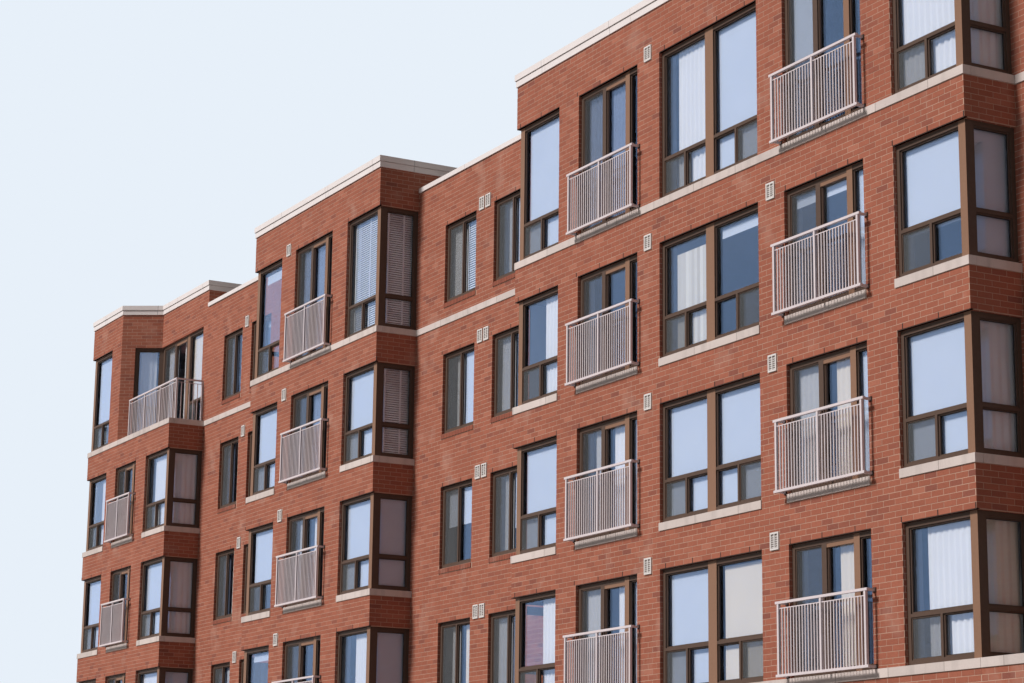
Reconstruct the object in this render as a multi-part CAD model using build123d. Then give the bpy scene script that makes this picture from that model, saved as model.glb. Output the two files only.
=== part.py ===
from build123d import *
import math
import os

# A five-storey brick apartment block with a stepped front: three bays stand forward of three set-back links.
# Millimetres. X runs along the front to the right, -Y is the street side, Z is up from the ground.

# Coursing and storey heights
COURSE = 89.0
BASE_COURSES = 10
STOREY_COURSES = 31
TALL_COURSES = 7
STOREYS = 5

BASE_H = BASE_COURSES * COURSE
STOREY_H = STOREY_COURSES * COURSE
HEAD_H = 1991.0
TALL_EXTRA = TALL_COURSES * COURSE
TERRACE_HEAD = 2550.0
LINK_SILL_H = 330.0

# Widths of openings and piers along the front
CORNER_WINDOW = 1610.0
PIER = 705.0
DOOR = 2010.0
PAIR_WINDOW = 2900.0
LEFT_DOOR = 1560.0
LEFT_PIER = 740.0
MIDDLE_PIER = 775.0
LEFT_LINK = 5350.0
RIGHT_LINK = 6000.0
END_LINK = 2340.0
LEFT_LINK_WINDOW = 1210.0
RIGHT_LINK_WINDOW = 1370.0
LINK_WINDOW_GAP = 590.0
RIGHT_LINK_GAP = 760.0
GROUND_CORNER_WINDOW = 1250.0

# Plan depths and thicknesses
RECESS = 938.0
DEPTH = 15000.0
WALL = 350.0
FLOOR = 260.0
TERRACE_RUN = 590.0

# Roof
HIGH_CEILING = 250.0
ROOF = 250.0
LOW_PARAPET = 394.0
HIGH_COPING_BASE = 846.0
COPING_LOWER = 122.0
COPING_REVEAL = 8.0
COPING_UPPER = 120.0
COPING_LOWER_OUT = 25.0
COPING_UPPER_OUT = 45.0
COPING_IN = 20.0
LOW_COPING = 100.0
LOW_COPING_OUT = 30.0
JOINT = 6.0

# Stone sills and bands
STONE_H = 130.0
STONE_IN = 120.0
STONE_OUT = 20.0
STONE_LAP = 12.0

# Window and door frames
SETBACK = 58.0
FRAME_T = 60.0
GLASS_T = 20.0
FRAME_BAR = 73.0
SASH_BAR = 50.0
TRANSOM_Z = 690.0
POST_FRONT = 150.0
POST_SIDE = 150.0
PAIR_MULLION = 240.0
DOOR_MULLION = 140.0
LEAF_STILE = 118.0
SIDELIGHT = 345.0
LEFT_SIDELIGHT = 250.0

# Railings
RAIL_OUT = 165.0
RAIL_SIDE = 75.0
RAIL_FOOT = 15.0
RAIL_TOP = 1135.0
TERRACE_RAIL_TOP = 1090.0
RAIL_W = 50.0
RAIL_H = 38.0
RAIL_OVERHANG = 40.0
SECOND_RAIL_DROP = 98.0
THIN_RAIL = 14.0
POST_W = 42.0
BALUSTER = 18.0
BALUSTER_PITCH = 78.0
TERRACE_PITCH = 115.0
TERRACE_INSET = 220.0
TERRACE_RAIL_START = 2590.0
TERRACE_END_INSET = 150.0
FIXING = 34.0

# Wall vents
VENT_W = 230.0
VENT_H = 310.0
VENT_OUT = 24.0
VENT_RISE = 98.0
LINK_VENT_W = 170.0
LINK_VENT_GAP = 130.0

# Lengths that follow from the sizes above
LEFT_BAY = 2 * CORNER_WINDOW + LEFT_DOOR + 2 * LEFT_PIER
MIDDLE_BAY = 2 * CORNER_WINDOW + DOOR + 2 * MIDDLE_PIER
MAIN_BAY = 2 * CORNER_WINDOW + 2 * DOOR + PAIR_WINDOW + 4 * PIER
X_LEFT = 0.0
X_LEFT_END = X_LEFT + LEFT_BAY
X_MIDDLE = X_LEFT_END + LEFT_LINK
X_MIDDLE_END = X_MIDDLE + MIDDLE_BAY
X_MAIN = X_MIDDLE_END + RIGHT_LINK
X_MAIN_END = X_MAIN + MAIN_BAY
LENGTH = X_MAIN_END + END_LINK
LEVEL = [BASE_H + k * STOREY_H for k in range(STOREYS)]
TOP = STOREYS - 1
TALL_HEAD = HEAD_H + TALL_EXTRA
LOW_ROOF_TOP = LEVEL[TOP] + TALL_HEAD
LOW_WALL_TOP = LOW_ROOF_TOP + LOW_PARAPET
HIGH_WALL_TOP = LEVEL[TOP] + TALL_HEAD + HIGH_COPING_BASE
HIGH_ROOF_TOP = LEVEL[TOP] + TALL_HEAD + HIGH_CEILING + ROOF
BACK_IN = DEPTH - WALL
FRONT_IN = WALL
LINK_IN = RECESS + WALL

# The ground under the middle of the finished block, coping and railings included, is the origin
X_MID = (X_LEFT - COPING_UPPER_OUT + LENGTH) / 2
Y_MID = (DEPTH + COPING_UPPER_OUT - RAIL_OUT - RAIL_W / 2) / 2
ORIGIN = Location((-X_MID, -Y_MID, 0))


def block(x0, x1, y0, y1, z0, z1):
    """A box between two corners."""
    return Pos(x0, y0, z0) * Box(x1 - x0, y1 - y0, z1 - z0, align=(Align.MIN, Align.MIN, Align.MIN))


def prism(points, z0, z1):
    """An upright prism on a plan outline."""
    return Pos(0, 0, z0) * extrude(make_face(Polyline(*points, close=True)), z1 - z0)


def join(pieces):
    """Pieces that touch, as one solid."""
    return pieces[0].fuse(*pieces[1:]) if len(pieces) > 1 else pieces[0]


def carve(solid, tools):
    """A solid with openings and rebates cut out of it."""
    return solid.cut(*tools) if tools else solid


class Face:
    """One straight stretch of outside wall: u runs along it, v runs into the building."""

    def __init__(self, x, y, angle, length):
        self.length = length
        self.place = Pos(x, y, 0) * Rot(0, 0, angle)

    def put(self, shape):
        return self.place * shape


# Outside wall faces, each walked with the building on the left
LEFT_FRONT = Face(X_LEFT, 0, 0, LEFT_BAY)
LEFT_END = Face(X_LEFT, DEPTH, -90, DEPTH)
LEFT_RETURN = Face(X_LEFT_END, 0, 90, RECESS)
LEFT_LINK_FRONT = Face(X_LEFT_END, RECESS, 0, LEFT_LINK)
MIDDLE_NEAR = Face(X_MIDDLE, RECESS, -90, RECESS)
MIDDLE_FRONT = Face(X_MIDDLE, 0, 0, MIDDLE_BAY)
MIDDLE_FAR = Face(X_MIDDLE_END, 0, 90, RECESS)
RIGHT_LINK_FRONT = Face(X_MIDDLE_END, RECESS, 0, RIGHT_LINK)
MAIN_NEAR = Face(X_MAIN, RECESS, -90, RECESS)
MAIN_FRONT = Face(X_MAIN, 0, 0, MAIN_BAY)
MAIN_FAR = Face(X_MAIN_END, 0, 90, RECESS)
END_FRONT = Face(X_MAIN_END, RECESS, 0, END_LINK)
END_GROUND = Face(X_MAIN_END, 0, 0, END_LINK)
BACK = Face(LENGTH, DEPTH, 180, LENGTH)

# The top storey of the left bay turns back to the link wall on a slant
TERRACE_START = CORNER_WINDOW + LEFT_PIER
TERRACE_END = TERRACE_START + TERRACE_RUN
SLANT_LENGTH = math.hypot(TERRACE_RUN, RECESS)
SLANT_ANGLE = math.degrees(math.atan2(RECESS, TERRACE_RUN))
SLANT_BRICK = 370.0
TERRACE_GLAZED = 3010.0
TERRACE_DOOR = 1770.0
TERRACE_MULLION = 140.0
SLANT = Face(TERRACE_START, 0, SLANT_ANGLE, SLANT_LENGTH)
TERRACE_BACK = Face(TERRACE_END, RECESS, 0, X_LEFT_END - TERRACE_END)


def mitre(points, i, offset):
    """The corner i of an outline, moved inward from both of its sides."""
    ax, ay = points[i - 1]
    bx, by = points[i]
    cx, cy = points[(i + 1) % len(points)]
    d1 = math.hypot(bx - ax, by - ay)
    d2 = math.hypot(cx - bx, cy - by)
    n1 = (-(by - ay) / d1, (bx - ax) / d1)
    n2 = (-(cy - by) / d2, (cx - bx) / d2)
    k = offset / (1 + n1[0] * n2[0] + n1[1] * n2[1])
    return (bx + k * (n1[0] + n2[0]), by + k * (n1[1] + n2[1]))


def inset(points, offset):
    """An outline moved inward all round."""
    return [mitre(points, i, offset) for i in range(len(points))]


# Plan outlines of the three raised bays, counter-clockwise
LEFT_PLAN = [(X_LEFT, 0), (TERRACE_START, 0), (TERRACE_END, RECESS),
             (X_LEFT_END, RECESS), (X_LEFT_END, DEPTH), (X_LEFT, DEPTH)]
MIDDLE_PLAN = [(X_MIDDLE, 0), (X_MIDDLE_END, 0), (X_MIDDLE_END, DEPTH), (X_MIDDLE, DEPTH)]
MAIN_PLAN = [(X_MAIN, 0), (X_MAIN_END, 0), (X_MAIN_END, DEPTH), (X_MAIN, DEPTH)]
LEFT_INNER = inset(LEFT_PLAN, WALL)


# Openings: every entry is u0, u1, kind, and the clear height follows from the kind and the storey
def bay_openings(bay_length, doors):
    """Corner windows at both ends of a bay, doors and a paired window between."""
    spans = [(0.0, CORNER_WINDOW, "corner_left")]
    spans += doors
    spans += [(bay_length - CORNER_WINDOW, bay_length, "corner_right")]
    return spans


LEFT_DOORS = [(CORNER_WINDOW + LEFT_PIER, CORNER_WINDOW + LEFT_PIER + LEFT_DOOR, "left_door")]
MIDDLE_DOORS = [(CORNER_WINDOW + MIDDLE_PIER, CORNER_WINDOW + MIDDLE_PIER + DOOR, "door")]
MAIN_DOOR_1 = CORNER_WINDOW + PIER
MAIN_PAIR = MAIN_DOOR_1 + DOOR + PIER
MAIN_DOOR_2 = MAIN_PAIR + PAIR_WINDOW + PIER
MAIN_DOORS = [(MAIN_DOOR_1, MAIN_DOOR_1 + DOOR, "door"),
              (MAIN_PAIR, MAIN_PAIR + PAIR_WINDOW, "pair"),
              (MAIN_DOOR_2, MAIN_DOOR_2 + DOOR, "door")]


def link_openings(link_length, window, gap):
    """Two equal windows either side of the middle of a link."""
    middle = link_length / 2
    return [(middle - gap / 2 - window, middle - gap / 2, "link"),
            (middle + gap / 2, middle + gap / 2 + window, "link")]


def end_openings():
    """One window in the middle of the end link."""
    return [(END_LINK / 2 - RIGHT_LINK_WINDOW / 2, END_LINK / 2 + RIGHT_LINK_WINDOW / 2, "link")]


def back_openings():
    """The back repeats the front's windows behind each bay and link, seen from behind."""
    spans = []
    for x0, x1, kind in ((X_LEFT, X_LEFT_END, "pair"), (X_MIDDLE, X_MIDDLE_END, "pair")):
        middle = LENGTH - (x0 + x1) / 2
        spans.append((middle - PAIR_WINDOW / 2, middle + PAIR_WINDOW / 2, kind))
    for third in (1, 3):
        middle = LENGTH - X_MAIN - MAIN_BAY * third / 4
        spans.append((middle - PAIR_WINDOW / 2, middle + PAIR_WINDOW / 2, "pair"))
    for x0, length, window, gap in ((X_LEFT_END, LEFT_LINK, LEFT_LINK_WINDOW, LINK_WINDOW_GAP),
                                    (X_MIDDLE_END, RIGHT_LINK, RIGHT_LINK_WINDOW, RIGHT_LINK_GAP)):
        start = LENGTH - x0 - length
        spans += [(start + u0, start + u1, kind) for u0, u1, kind in link_openings(length, window, gap)]
    spans += end_openings()
    return spans


def storey_openings(name, k):
    """All openings of one wall face on storey k."""
    if name == "left_front":
        spans = bay_openings(LEFT_BAY, LEFT_DOORS)
        return spans[:1] if k == TOP else spans
    if name == "middle_front":
        return bay_openings(MIDDLE_BAY, MIDDLE_DOORS)
    if name == "main_front":
        spans = bay_openings(MAIN_BAY, MAIN_DOORS)
        if k == 0:
            u0 = MAIN_BAY - CORNER_WINDOW
            spans[-1] = (u0, u0 + GROUND_CORNER_WINDOW, "single")
        return spans
    if name == "left_link":
        return link_openings(LEFT_LINK, LEFT_LINK_WINDOW, LINK_WINDOW_GAP)
    if name == "right_link":
        return link_openings(RIGHT_LINK, RIGHT_LINK_WINDOW, RIGHT_LINK_GAP)
    if name == "end_front":
        return end_openings() if k > 0 else []
    if name == "end_ground":
        return end_openings() if k == 0 else []
    if name == "back":
        return back_openings()
    return []


FRONTS = {"left_front": LEFT_FRONT, "middle_front": MIDDLE_FRONT, "main_front": MAIN_FRONT,
          "left_link": LEFT_LINK_FRONT, "right_link": RIGHT_LINK_FRONT, "end_front": END_FRONT,
          "end_ground": END_GROUND, "back": BACK}
LINKS = ("left_link", "right_link", "end_front")
BAYS = ("left_front", "middle_front", "main_front")


def head_of(name, kind, k):
    """Height of an opening's head over its own floor."""
    tall = k == TOP and kind != "link" and name not in LINKS
    return TALL_HEAD if tall else HEAD_H


def foot_of(kind):
    return LINK_SILL_H if kind == "link" else 0.0


def hole(u0, u1, z0, z1, reach=WALL):
    """A cutter right through a wall, in wall coordinates."""
    return block(u0, u1, -1, reach + 1, z0, z1)


def rebate(u0, u1, z):
    """The seat that a stone of a sill or band fills, in wall coordinates."""
    return block(u0, u1, -1, STONE_IN, z - STONE_H, z)


def cut_openings(name, storeys, length):
    """Cutters for the openings, sills and bands of a front wall."""
    cutters = []
    for k in storeys:
        z = LEVEL[k]
        for u0, u1, kind in storey_openings(name, k):
            cutters.append(hole(u0, u1, z + foot_of(kind), z + head_of(name, kind, k)))
        for u0, u1 in stone_spans(name, k, length):
            cutters.append(rebate(*link_stop(name, u0, u1, length, STONE_OUT), z))
            if u0 == 0 and name in BAYS:
                cutters.append(end_rebate(-1, STONE_IN, z))
            if u1 == length and turns_corner(name, k):
                cutters.append(end_rebate(length - STONE_IN, length + 1, z))
    return cutters


def link_stop(name, u0, u1, length, gap):
    """A stone on a set-back wall stops short of the stones that turn in from its neighbours."""
    if name not in LINKS:
        return u0, u1
    return u0 + gap, u1 - (0.0 if name == "end_front" else gap)


def end_rebate(u0, u1, z):
    """The seat of the stone that carries on round a corner, through the thickness of the wall."""
    return block(u0, u1, -1, WALL + 1, z - STONE_H, z)


def turns_corner(name, k):
    """Whether the stones at the far end of a face carry on round its corner."""
    return name == "back" or name in BAYS and not (name == "main_front" and k == 1)


def stone_spans(name, k, length):
    """Where stones lie at floor k along a face: a full band on storeys 1 and 4, sills elsewhere."""
    if k in (1, TOP):
        return [(0.0, length)]
    spans = []
    for u0, u1, kind in storey_openings(name, k):
        if kind != "link":
            spans.append((max(u0 - STONE_LAP, 0.0), min(u1 + STONE_LAP, length)))
    return spans


def front_wall(name, storeys, z0, z1):
    """A bay's front wall as a plate with its openings and stone seats."""
    face = FRONTS[name]
    plate = block(0, face.length, 0, WALL, z0, z1)
    return face.put(carve(plate, cut_openings(name, storeys, face.length)))


def link_wall(name, right_lap):
    """A set-back wall: it runs behind the ends of its neighbours up to the low roof."""
    face = FRONTS[name]
    low = 1 if name == "end_front" else 0
    foot = LEVEL[1] if low else 0.0
    body = block(0, face.length, 0, WALL, foot, LOW_WALL_TOP)
    left_top = LEVEL[TOP] if name == "left_link" else LOW_ROOF_TOP
    parts = [body, block(-WALL, 0, 0, WALL, foot, left_top)]
    if right_lap:
        parts.append(block(face.length, face.length + WALL, 0, WALL, foot, LOW_ROOF_TOP))
    plate = join(parts)
    return face.put(carve(plate, cut_openings(name, range(low, STOREYS), face.length)))


def return_spandrels(face, u0, u1, storeys):
    """The brick bands of a return wall between its corner windows, one solid a storey."""
    pieces = []
    for k in storeys:
        z0 = 0.0 if k == 0 else LEVEL[k - 1] + HEAD_H
        seat = rebate(u0 - 1, u1 + 1, LEVEL[k])
        pieces.append(face.put(carve(block(u0, u1, 0, WALL, z0, LEVEL[k]), [seat])))
    return pieces


def slab(k):
    """A floor that fills the walls, its edge stepping in and out with the front."""
    z1 = LEVEL[k]
    z0 = 0.0 if k == 0 else z1 - FLOOR
    end_front = FRONT_IN if k <= 1 else LINK_IN
    end_x = LENGTH - WALL
    points = [(X_LEFT + WALL, FRONT_IN), (X_LEFT_END - WALL, FRONT_IN), (X_LEFT_END - WALL, LINK_IN),
              (X_MIDDLE + WALL, LINK_IN), (X_MIDDLE + WALL, FRONT_IN), (X_MIDDLE_END - WALL, FRONT_IN),
              (X_MIDDLE_END - WALL, LINK_IN), (X_MAIN + WALL, LINK_IN), (X_MAIN + WALL, FRONT_IN)]
    if end_front == FRONT_IN:
        points += [(end_x, FRONT_IN)]
    else:
        points += [(X_MAIN_END - WALL, FRONT_IN), (X_MAIN_END - WALL, LINK_IN), (end_x, LINK_IN)]
    points += [(end_x, BACK_IN), (X_LEFT + WALL, BACK_IN)]
    return prism(points, z0, z1)


# Window and door units: a frame with its bars, and one sheet of glass behind it
def unit_panes(u0, u1, z0, z1):
    """A tall fixed pane over two low lights."""
    middle = (u0 + u1) / 2
    low = TRANSOM_Z - SASH_BAR / 2
    return [(u0, u1, TRANSOM_Z + SASH_BAR / 2, z1),
            (u0, middle - SASH_BAR / 2, z0, low), (middle + SASH_BAR / 2, u1, z0, low)]


def return_panes(u0, u1, z0, z1):
    """A tall fixed pane over one low light."""
    return [(u0, u1, TRANSOM_Z + SASH_BAR / 2, z1), (u0, u1, z0, TRANSOM_Z - SASH_BAR / 2)]


def panes_of(kind, width, height):
    """Pane rectangles of a unit, from its lower left corner."""
    left = FRAME_BAR
    right = width - FRAME_BAR
    foot = FRAME_BAR
    head = height - FRAME_BAR
    if kind == "corner_left":
        return unit_panes(POST_FRONT, right, foot, head)
    if kind == "corner_right":
        return unit_panes(left, width - POST_FRONT, foot, head)
    if kind == "return_left":
        return return_panes(left, width - (POST_SIDE - FRAME_T), foot, head)
    if kind == "return_right":
        return return_panes(POST_SIDE - FRAME_T, right, foot, head)
    if kind == "pair":
        middle = width / 2
        return (unit_panes(left, middle - PAIR_MULLION / 2, foot, head)
                + unit_panes(middle + PAIR_MULLION / 2, right, foot, head))
    if kind in ("door", "left_door"):
        side = SIDELIGHT if kind == "door" else LEFT_SIDELIGHT
        leaf_end = width - side - DOOR_MULLION
        middle = (left + leaf_end) / 2
        return [(left, middle - LEAF_STILE / 2, foot, head), (middle + LEAF_STILE / 2, leaf_end, foot, head),
                (width - side, right, foot, head)]
    if kind == "terrace_door":
        middle = width / 2
        return [(left, middle - LEAF_STILE / 2, foot, head), (middle + LEAF_STILE / 2, right, foot, head)]
    if kind == "slant":
        return [(left, right, foot, head)]
    if kind == "link":
        middle = width / 2
        return [(left, middle - SASH_BAR / 2, foot, head), (middle + SASH_BAR / 2, right, foot, head)]
    return unit_panes(left, right, foot, head)


def glass_trim(kind):
    """How far a sheet of glass stops short of each end of its frame, to clear the glass round a corner."""
    clear = FRAME_T + GLASS_T + JOINT
    return {"corner_left": (clear, 0.0), "corner_right": (0.0, clear)}.get(kind, (0.0, 0.0))


def unit(face, u0, u1, z0, z1, kind):
    """Frame and glass of one opening, set back in its reveal."""
    width = u1 - u0
    frame = block(u0, u1, SETBACK, SETBACK + FRAME_T, z0, z1)
    cutters = [block(u0 + a, u0 + b, SETBACK - 1, SETBACK + FRAME_T + 1, z0 + c, z0 + d)
               for a, b, c, d in panes_of(kind, width, z1 - z0)]
    start, stop = glass_trim(kind)
    sheet = block(u0 + start, u1 - stop, SETBACK + FRAME_T, SETBACK + FRAME_T + GLASS_T, z0, z1)
    return face.put(carve(frame, cutters)), face.put(sheet)


def corner_span(kind, u0, u1):
    """A corner window's frame stops at the set-back plane of the wall round the corner."""
    if kind == "corner_left":
        return u0 + SETBACK, u1
    if kind == "corner_right":
        return u0, u1 - SETBACK
    return u0, u1


def return_units(k):
    """The return faces that carry a corner window on storey k, with the frame's span and kind."""
    far_start = SETBACK + FRAME_T
    near_stop = RECESS - far_start
    spans = [(LEFT_END, DEPTH - RECESS, DEPTH - far_start, "return_left"),
             (MIDDLE_NEAR, 0.0, near_stop, "return_left"), (MIDDLE_FAR, far_start, RECESS, "return_right"),
             (MAIN_NEAR, 0.0, near_stop, "return_left")]
    if k > 0:
        spans.append((MAIN_FAR, far_start, RECESS, "return_right"))
    if k < TOP:
        spans.append((LEFT_RETURN, far_start, RECESS, "return_right"))
    return spans


def storey_units(k):
    """All frames and all glass of one storey."""
    frames = []
    sheets = []
    z = LEVEL[k]
    for name, face in FRONTS.items():
        for u0, u1, kind in storey_openings(name, k):
            a, b = corner_span(kind, u0, u1)
            frame, sheet = unit(face, a, b, z + foot_of(kind), z + head_of(name, kind, k), kind)
            frames.append(frame)
            sheets.append(sheet)
    for face, u0, u1, kind in return_units(k):
        frame, sheet = unit(face, u0, u1, z, z + head_of("", "single", k), kind)
        frames.append(frame)
        sheets.append(sheet)
    if k == TOP:
        terrace_frames, terrace_sheets = terrace_units(z)
        frames += terrace_frames
        sheets += terrace_sheets
    return frames, sheets


def terrace_units(z):
    """The glazing round the roof terrace: a slanted light, sliding doors, a window and two posts."""
    top = z + TERRACE_HEAD
    back = SETBACK + FRAME_T + GLASS_T
    mullion_end = TERRACE_DOOR + TERRACE_MULLION
    units = [unit(SLANT, SLANT_BRICK, SLANT_LENGTH, z, top, "slant"),
             unit(TERRACE_BACK, 0.0, TERRACE_DOOR, z, top, "terrace_door"),
             unit(TERRACE_BACK, mullion_end, TERRACE_GLAZED, z, top, "single")]
    mullion = TERRACE_BACK.put(block(TERRACE_DOOR, mullion_end, SETBACK, SETBACK + FRAME_T, z, top))
    screen = TERRACE_BACK.put(block(0.0, TERRACE_GLAZED, SETBACK + FRAME_T, back, z, top))
    inward = (-math.sin(math.radians(SLANT_ANGLE)), math.cos(math.radians(SLANT_ANGLE)))
    slant_side = [(TERRACE_END + inward[0] * v, RECESS + inward[1] * v) for v in (back, SETBACK)]
    back_side = [(TERRACE_END, RECESS + v) for v in (SETBACK, back)]
    outer = inset(LEFT_PLAN, SETBACK)[2]
    inner = inset(LEFT_PLAN, back)[2]
    corner = prism([slant_side[0], slant_side[1], outer, back_side[0], back_side[1], inner], z, top)
    return [frame for frame, sheet in units] + [mullion, corner], [units[0][1], screen]


# Stones
def band_stones(k):
    """The stones of floor k, a dry joint apart where two faces meet."""
    stones = []
    z0 = LEVEL[k] - STONE_H
    z1 = LEVEL[k]
    for name, face in FRONTS.items():
        if name == "end_ground" and k != 1:
            continue
        if name == "end_front" and k == 1:
            continue
        for u0, u1 in stone_spans(name, k, face.length):
            start = -STONE_OUT if u0 == 0 and name in BAYS else u0
            stop = u1 + STONE_OUT if u1 == face.length and turns_corner(name, k) else u1
            start, stop = link_stop(name, start, stop, face.length, STONE_OUT + JOINT)
            if name == "main_front" and k == 1:
                stop = face.length - JOINT / 2
            if name == "end_ground":
                start = JOINT / 2
            stones.append(face.put(block(start, stop, -STONE_OUT, STONE_IN, z0, z1)))
    start = STONE_IN + JOINT
    spans = [(MIDDLE_NEAR, 0.0, RECESS - start), (MIDDLE_FAR, start, RECESS), (MAIN_NEAR, 0.0, RECESS - start),
             (LEFT_RETURN, start, RECESS)]
    if k > 1:
        spans.append((MAIN_FAR, start, RECESS))
    left_start = STONE_IN + JOINT if k in (1, TOP) else DEPTH - RECESS
    spans.append((LEFT_END, left_start, DEPTH - start))
    for face, u0, u1 in spans:
        stones.append(face.put(block(u0, u1, -STONE_OUT, STONE_IN, z0, z1)))
    return stones


# Railings
def railing(width, foot, top, posts, pitch, over=0.0):
    """A welded guard: posts and close balusters between a flat foot rail and a thin second rail."""
    half = RAIL_W / 2
    second = top - SECOND_RAIL_DROP
    pieces = [block(-over, width + over, -half, half, top - RAIL_H, top),
              block(-over, width + over, -half, half, foot, foot + RAIL_H),
              block(0, width, -THIN_RAIL / 2, THIN_RAIL / 2, second - THIN_RAIL, second)]
    for i in range(posts):
        u = (width - POST_W) * i / (posts - 1)
        pieces.append(block(u, u + POST_W, -POST_W / 2, POST_W / 2, foot + RAIL_H, top - RAIL_H))
    field = (width - posts * POST_W) / (posts - 1)
    count = int(field // pitch)
    for i in range(posts - 1):
        start = POST_W + i * (field + POST_W)
        for j in range(count):
            u = start + field * (j + 1) / (count + 1)
            pieces.append(block(u - BALUSTER / 2, u + BALUSTER / 2, -BALUSTER / 2, BALUSTER / 2,
                                foot + RAIL_H, second - THIN_RAIL))
    return join(pieces)


def balconette(face, u0, u1, z):
    """A guard outside a door, held off the brick by its four fixings."""
    width = u1 - u0 + 2 * RAIL_SIDE
    guard = [railing(width, RAIL_FOOT, RAIL_TOP, 3, BALUSTER_PITCH, RAIL_OVERHANG)]
    for u in (0.0, width - FIXING):
        for foot in (RAIL_TOP - RAIL_H, RAIL_FOOT):
            guard.append(block(u, u + FIXING, RAIL_W / 2 - 1, RAIL_OUT, foot, foot + RAIL_H))
    return face.put(Pos(u0 - RAIL_SIDE, -RAIL_OUT, z) * join(guard))


def terrace_railing():
    """The guard of the roof terrace, standing on the slab and turning back to the wall."""
    z = LEVEL[TOP]
    x0 = TERRACE_RAIL_START
    x1 = X_LEFT_END - TERRACE_END_INSET
    y0 = TERRACE_INSET - POST_W / 2
    front = railing(x1 - x0, 0, TERRACE_RAIL_TOP, 4, TERRACE_PITCH)
    side = railing(RECESS - y0, 0, TERRACE_RAIL_TOP, 2, TERRACE_PITCH)
    return join([Pos(x0, TERRACE_INSET, z) * front, Pos(x1 - POST_W / 2, y0, z) * Rot(0, 0, 90) * side])


# Vents
def vent_places(k):
    """Each small wall vent: its face, the middle of it along the face, its width and head height."""
    high = TALL_HEAD if k == TOP else HEAD_H
    middle_pier = CORNER_WINDOW + MIDDLE_PIER / 2
    first = MAIN_DOOR_1 + DOOR + PIER / 2
    second = MAIN_PAIR + PAIR_WINDOW + PIER / 2
    places = [(MIDDLE_FRONT, middle_pier, VENT_W, high), (MAIN_FRONT, first, VENT_W, high),
              (MAIN_FRONT, second, VENT_W, high), (LEFT_LINK_FRONT, LEFT_LINK / 2, LINK_VENT_W, HEAD_H)]
    for side in (-1, 1):
        u = RIGHT_LINK / 2 + side * (LINK_VENT_W + LINK_VENT_GAP) / 2
        places.append((RIGHT_LINK_FRONT, u, LINK_VENT_W, HEAD_H))
    return places


def wall_vents():
    vents = []
    for k in range(STOREYS):
        for face, u, width, head in vent_places(k):
            z = LEVEL[k] + head + VENT_RISE
            vents.append(face.put(block(u - width / 2, u + width / 2, -VENT_OUT, 0,
                                        z - VENT_H / 2, z + VENT_H / 2)))
    return vents


# Copings
def high_coping(plan):
    """A two-step coping round a raised bay, one length a side with open mitres."""
    levels = [(HIGH_WALL_TOP, COPING_LOWER, COPING_LOWER_OUT),
              (HIGH_WALL_TOP + COPING_LOWER, COPING_REVEAL, 0.0),
              (HIGH_WALL_TOP + COPING_LOWER + COPING_REVEAL, COPING_UPPER, COPING_UPPER_OUT)]
    lengths = []
    for i in range(len(plan)):
        steps = []
        for z, height, out in levels:
            outer = inset(plan, -out)
            inner = inset(plan, WALL + COPING_IN)
            j = (i + 1) % len(plan)
            corners = [outer[i], outer[j], inner[j], inner[i]]
            dx = plan[j][0] - plan[i][0]
            dy = plan[j][1] - plan[i][1]
            length = math.hypot(dx, dy)
            ux = dx / length * JOINT / 2
            uy = dy / length * JOINT / 2
            quad = [(corners[0][0] + ux, corners[0][1] + uy), (corners[1][0] - ux, corners[1][1] - uy),
                    (corners[2][0] - ux, corners[2][1] - uy), (corners[3][0] + ux, corners[3][1] + uy)]
            steps.append(prism(quad, z, z + height))
        lengths.append(join(steps))
    return lengths


def low_coping():
    """Single flat copings on the link walls, front and back, and on the party wall."""
    z0 = LOW_WALL_TOP
    z1 = z0 + LOW_COPING
    runs = [(X_LEFT_END + JOINT, X_MIDDLE - JOINT), (X_MIDDLE_END + JOINT, X_MAIN - JOINT),
            (X_MAIN_END + JOINT, LENGTH)]
    pieces = []
    for x0, x1 in runs:
        pieces.append(block(x0, x1, RECESS - LOW_COPING_OUT, LINK_IN + COPING_IN, z0, z1))
        pieces.append(block(x0, x1, BACK_IN - COPING_IN, DEPTH + LOW_COPING_OUT, z0, z1))
    pieces.append(block(LENGTH - WALL - COPING_IN, LENGTH, LINK_IN + COPING_IN + JOINT,
                        BACK_IN - COPING_IN - JOINT, z0, z1))
    return pieces


# Walls with their own shapes
def left_bay_top_front():
    """The short top-storey front beside the terrace, mitred to the slanted wall."""
    z0 = LEVEL[TOP]
    plate = prism([LEFT_PLAN[0], LEFT_PLAN[1], LEFT_INNER[1], (X_LEFT, WALL)], z0, HIGH_WALL_TOP)
    u0, u1, kind = storey_openings("left_front", TOP)[0]
    return carve(plate, [hole(u0 - 1, u1, z0, z0 + TALL_HEAD)])


def slant_wall():
    z0 = LEVEL[TOP]
    plate = prism([LEFT_PLAN[1], LEFT_PLAN[2], LEFT_INNER[2], LEFT_INNER[1]], z0, HIGH_WALL_TOP)
    opening = SLANT.put(block(SLANT_BRICK, SLANT_LENGTH + WALL, -1, 2 * WALL, z0, z0 + TERRACE_HEAD))
    return carve(plate, [opening])


def terrace_back_wall():
    z0 = LEVEL[TOP]
    plate = prism([LEFT_PLAN[2], LEFT_PLAN[3], (X_LEFT_END, LINK_IN), LEFT_INNER[2]], z0, HIGH_WALL_TOP)
    opening = TERRACE_BACK.put(block(-WALL, TERRACE_GLAZED, -1, WALL + 1, z0, z0 + TERRACE_HEAD))
    return carve(plate, [opening])


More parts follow.
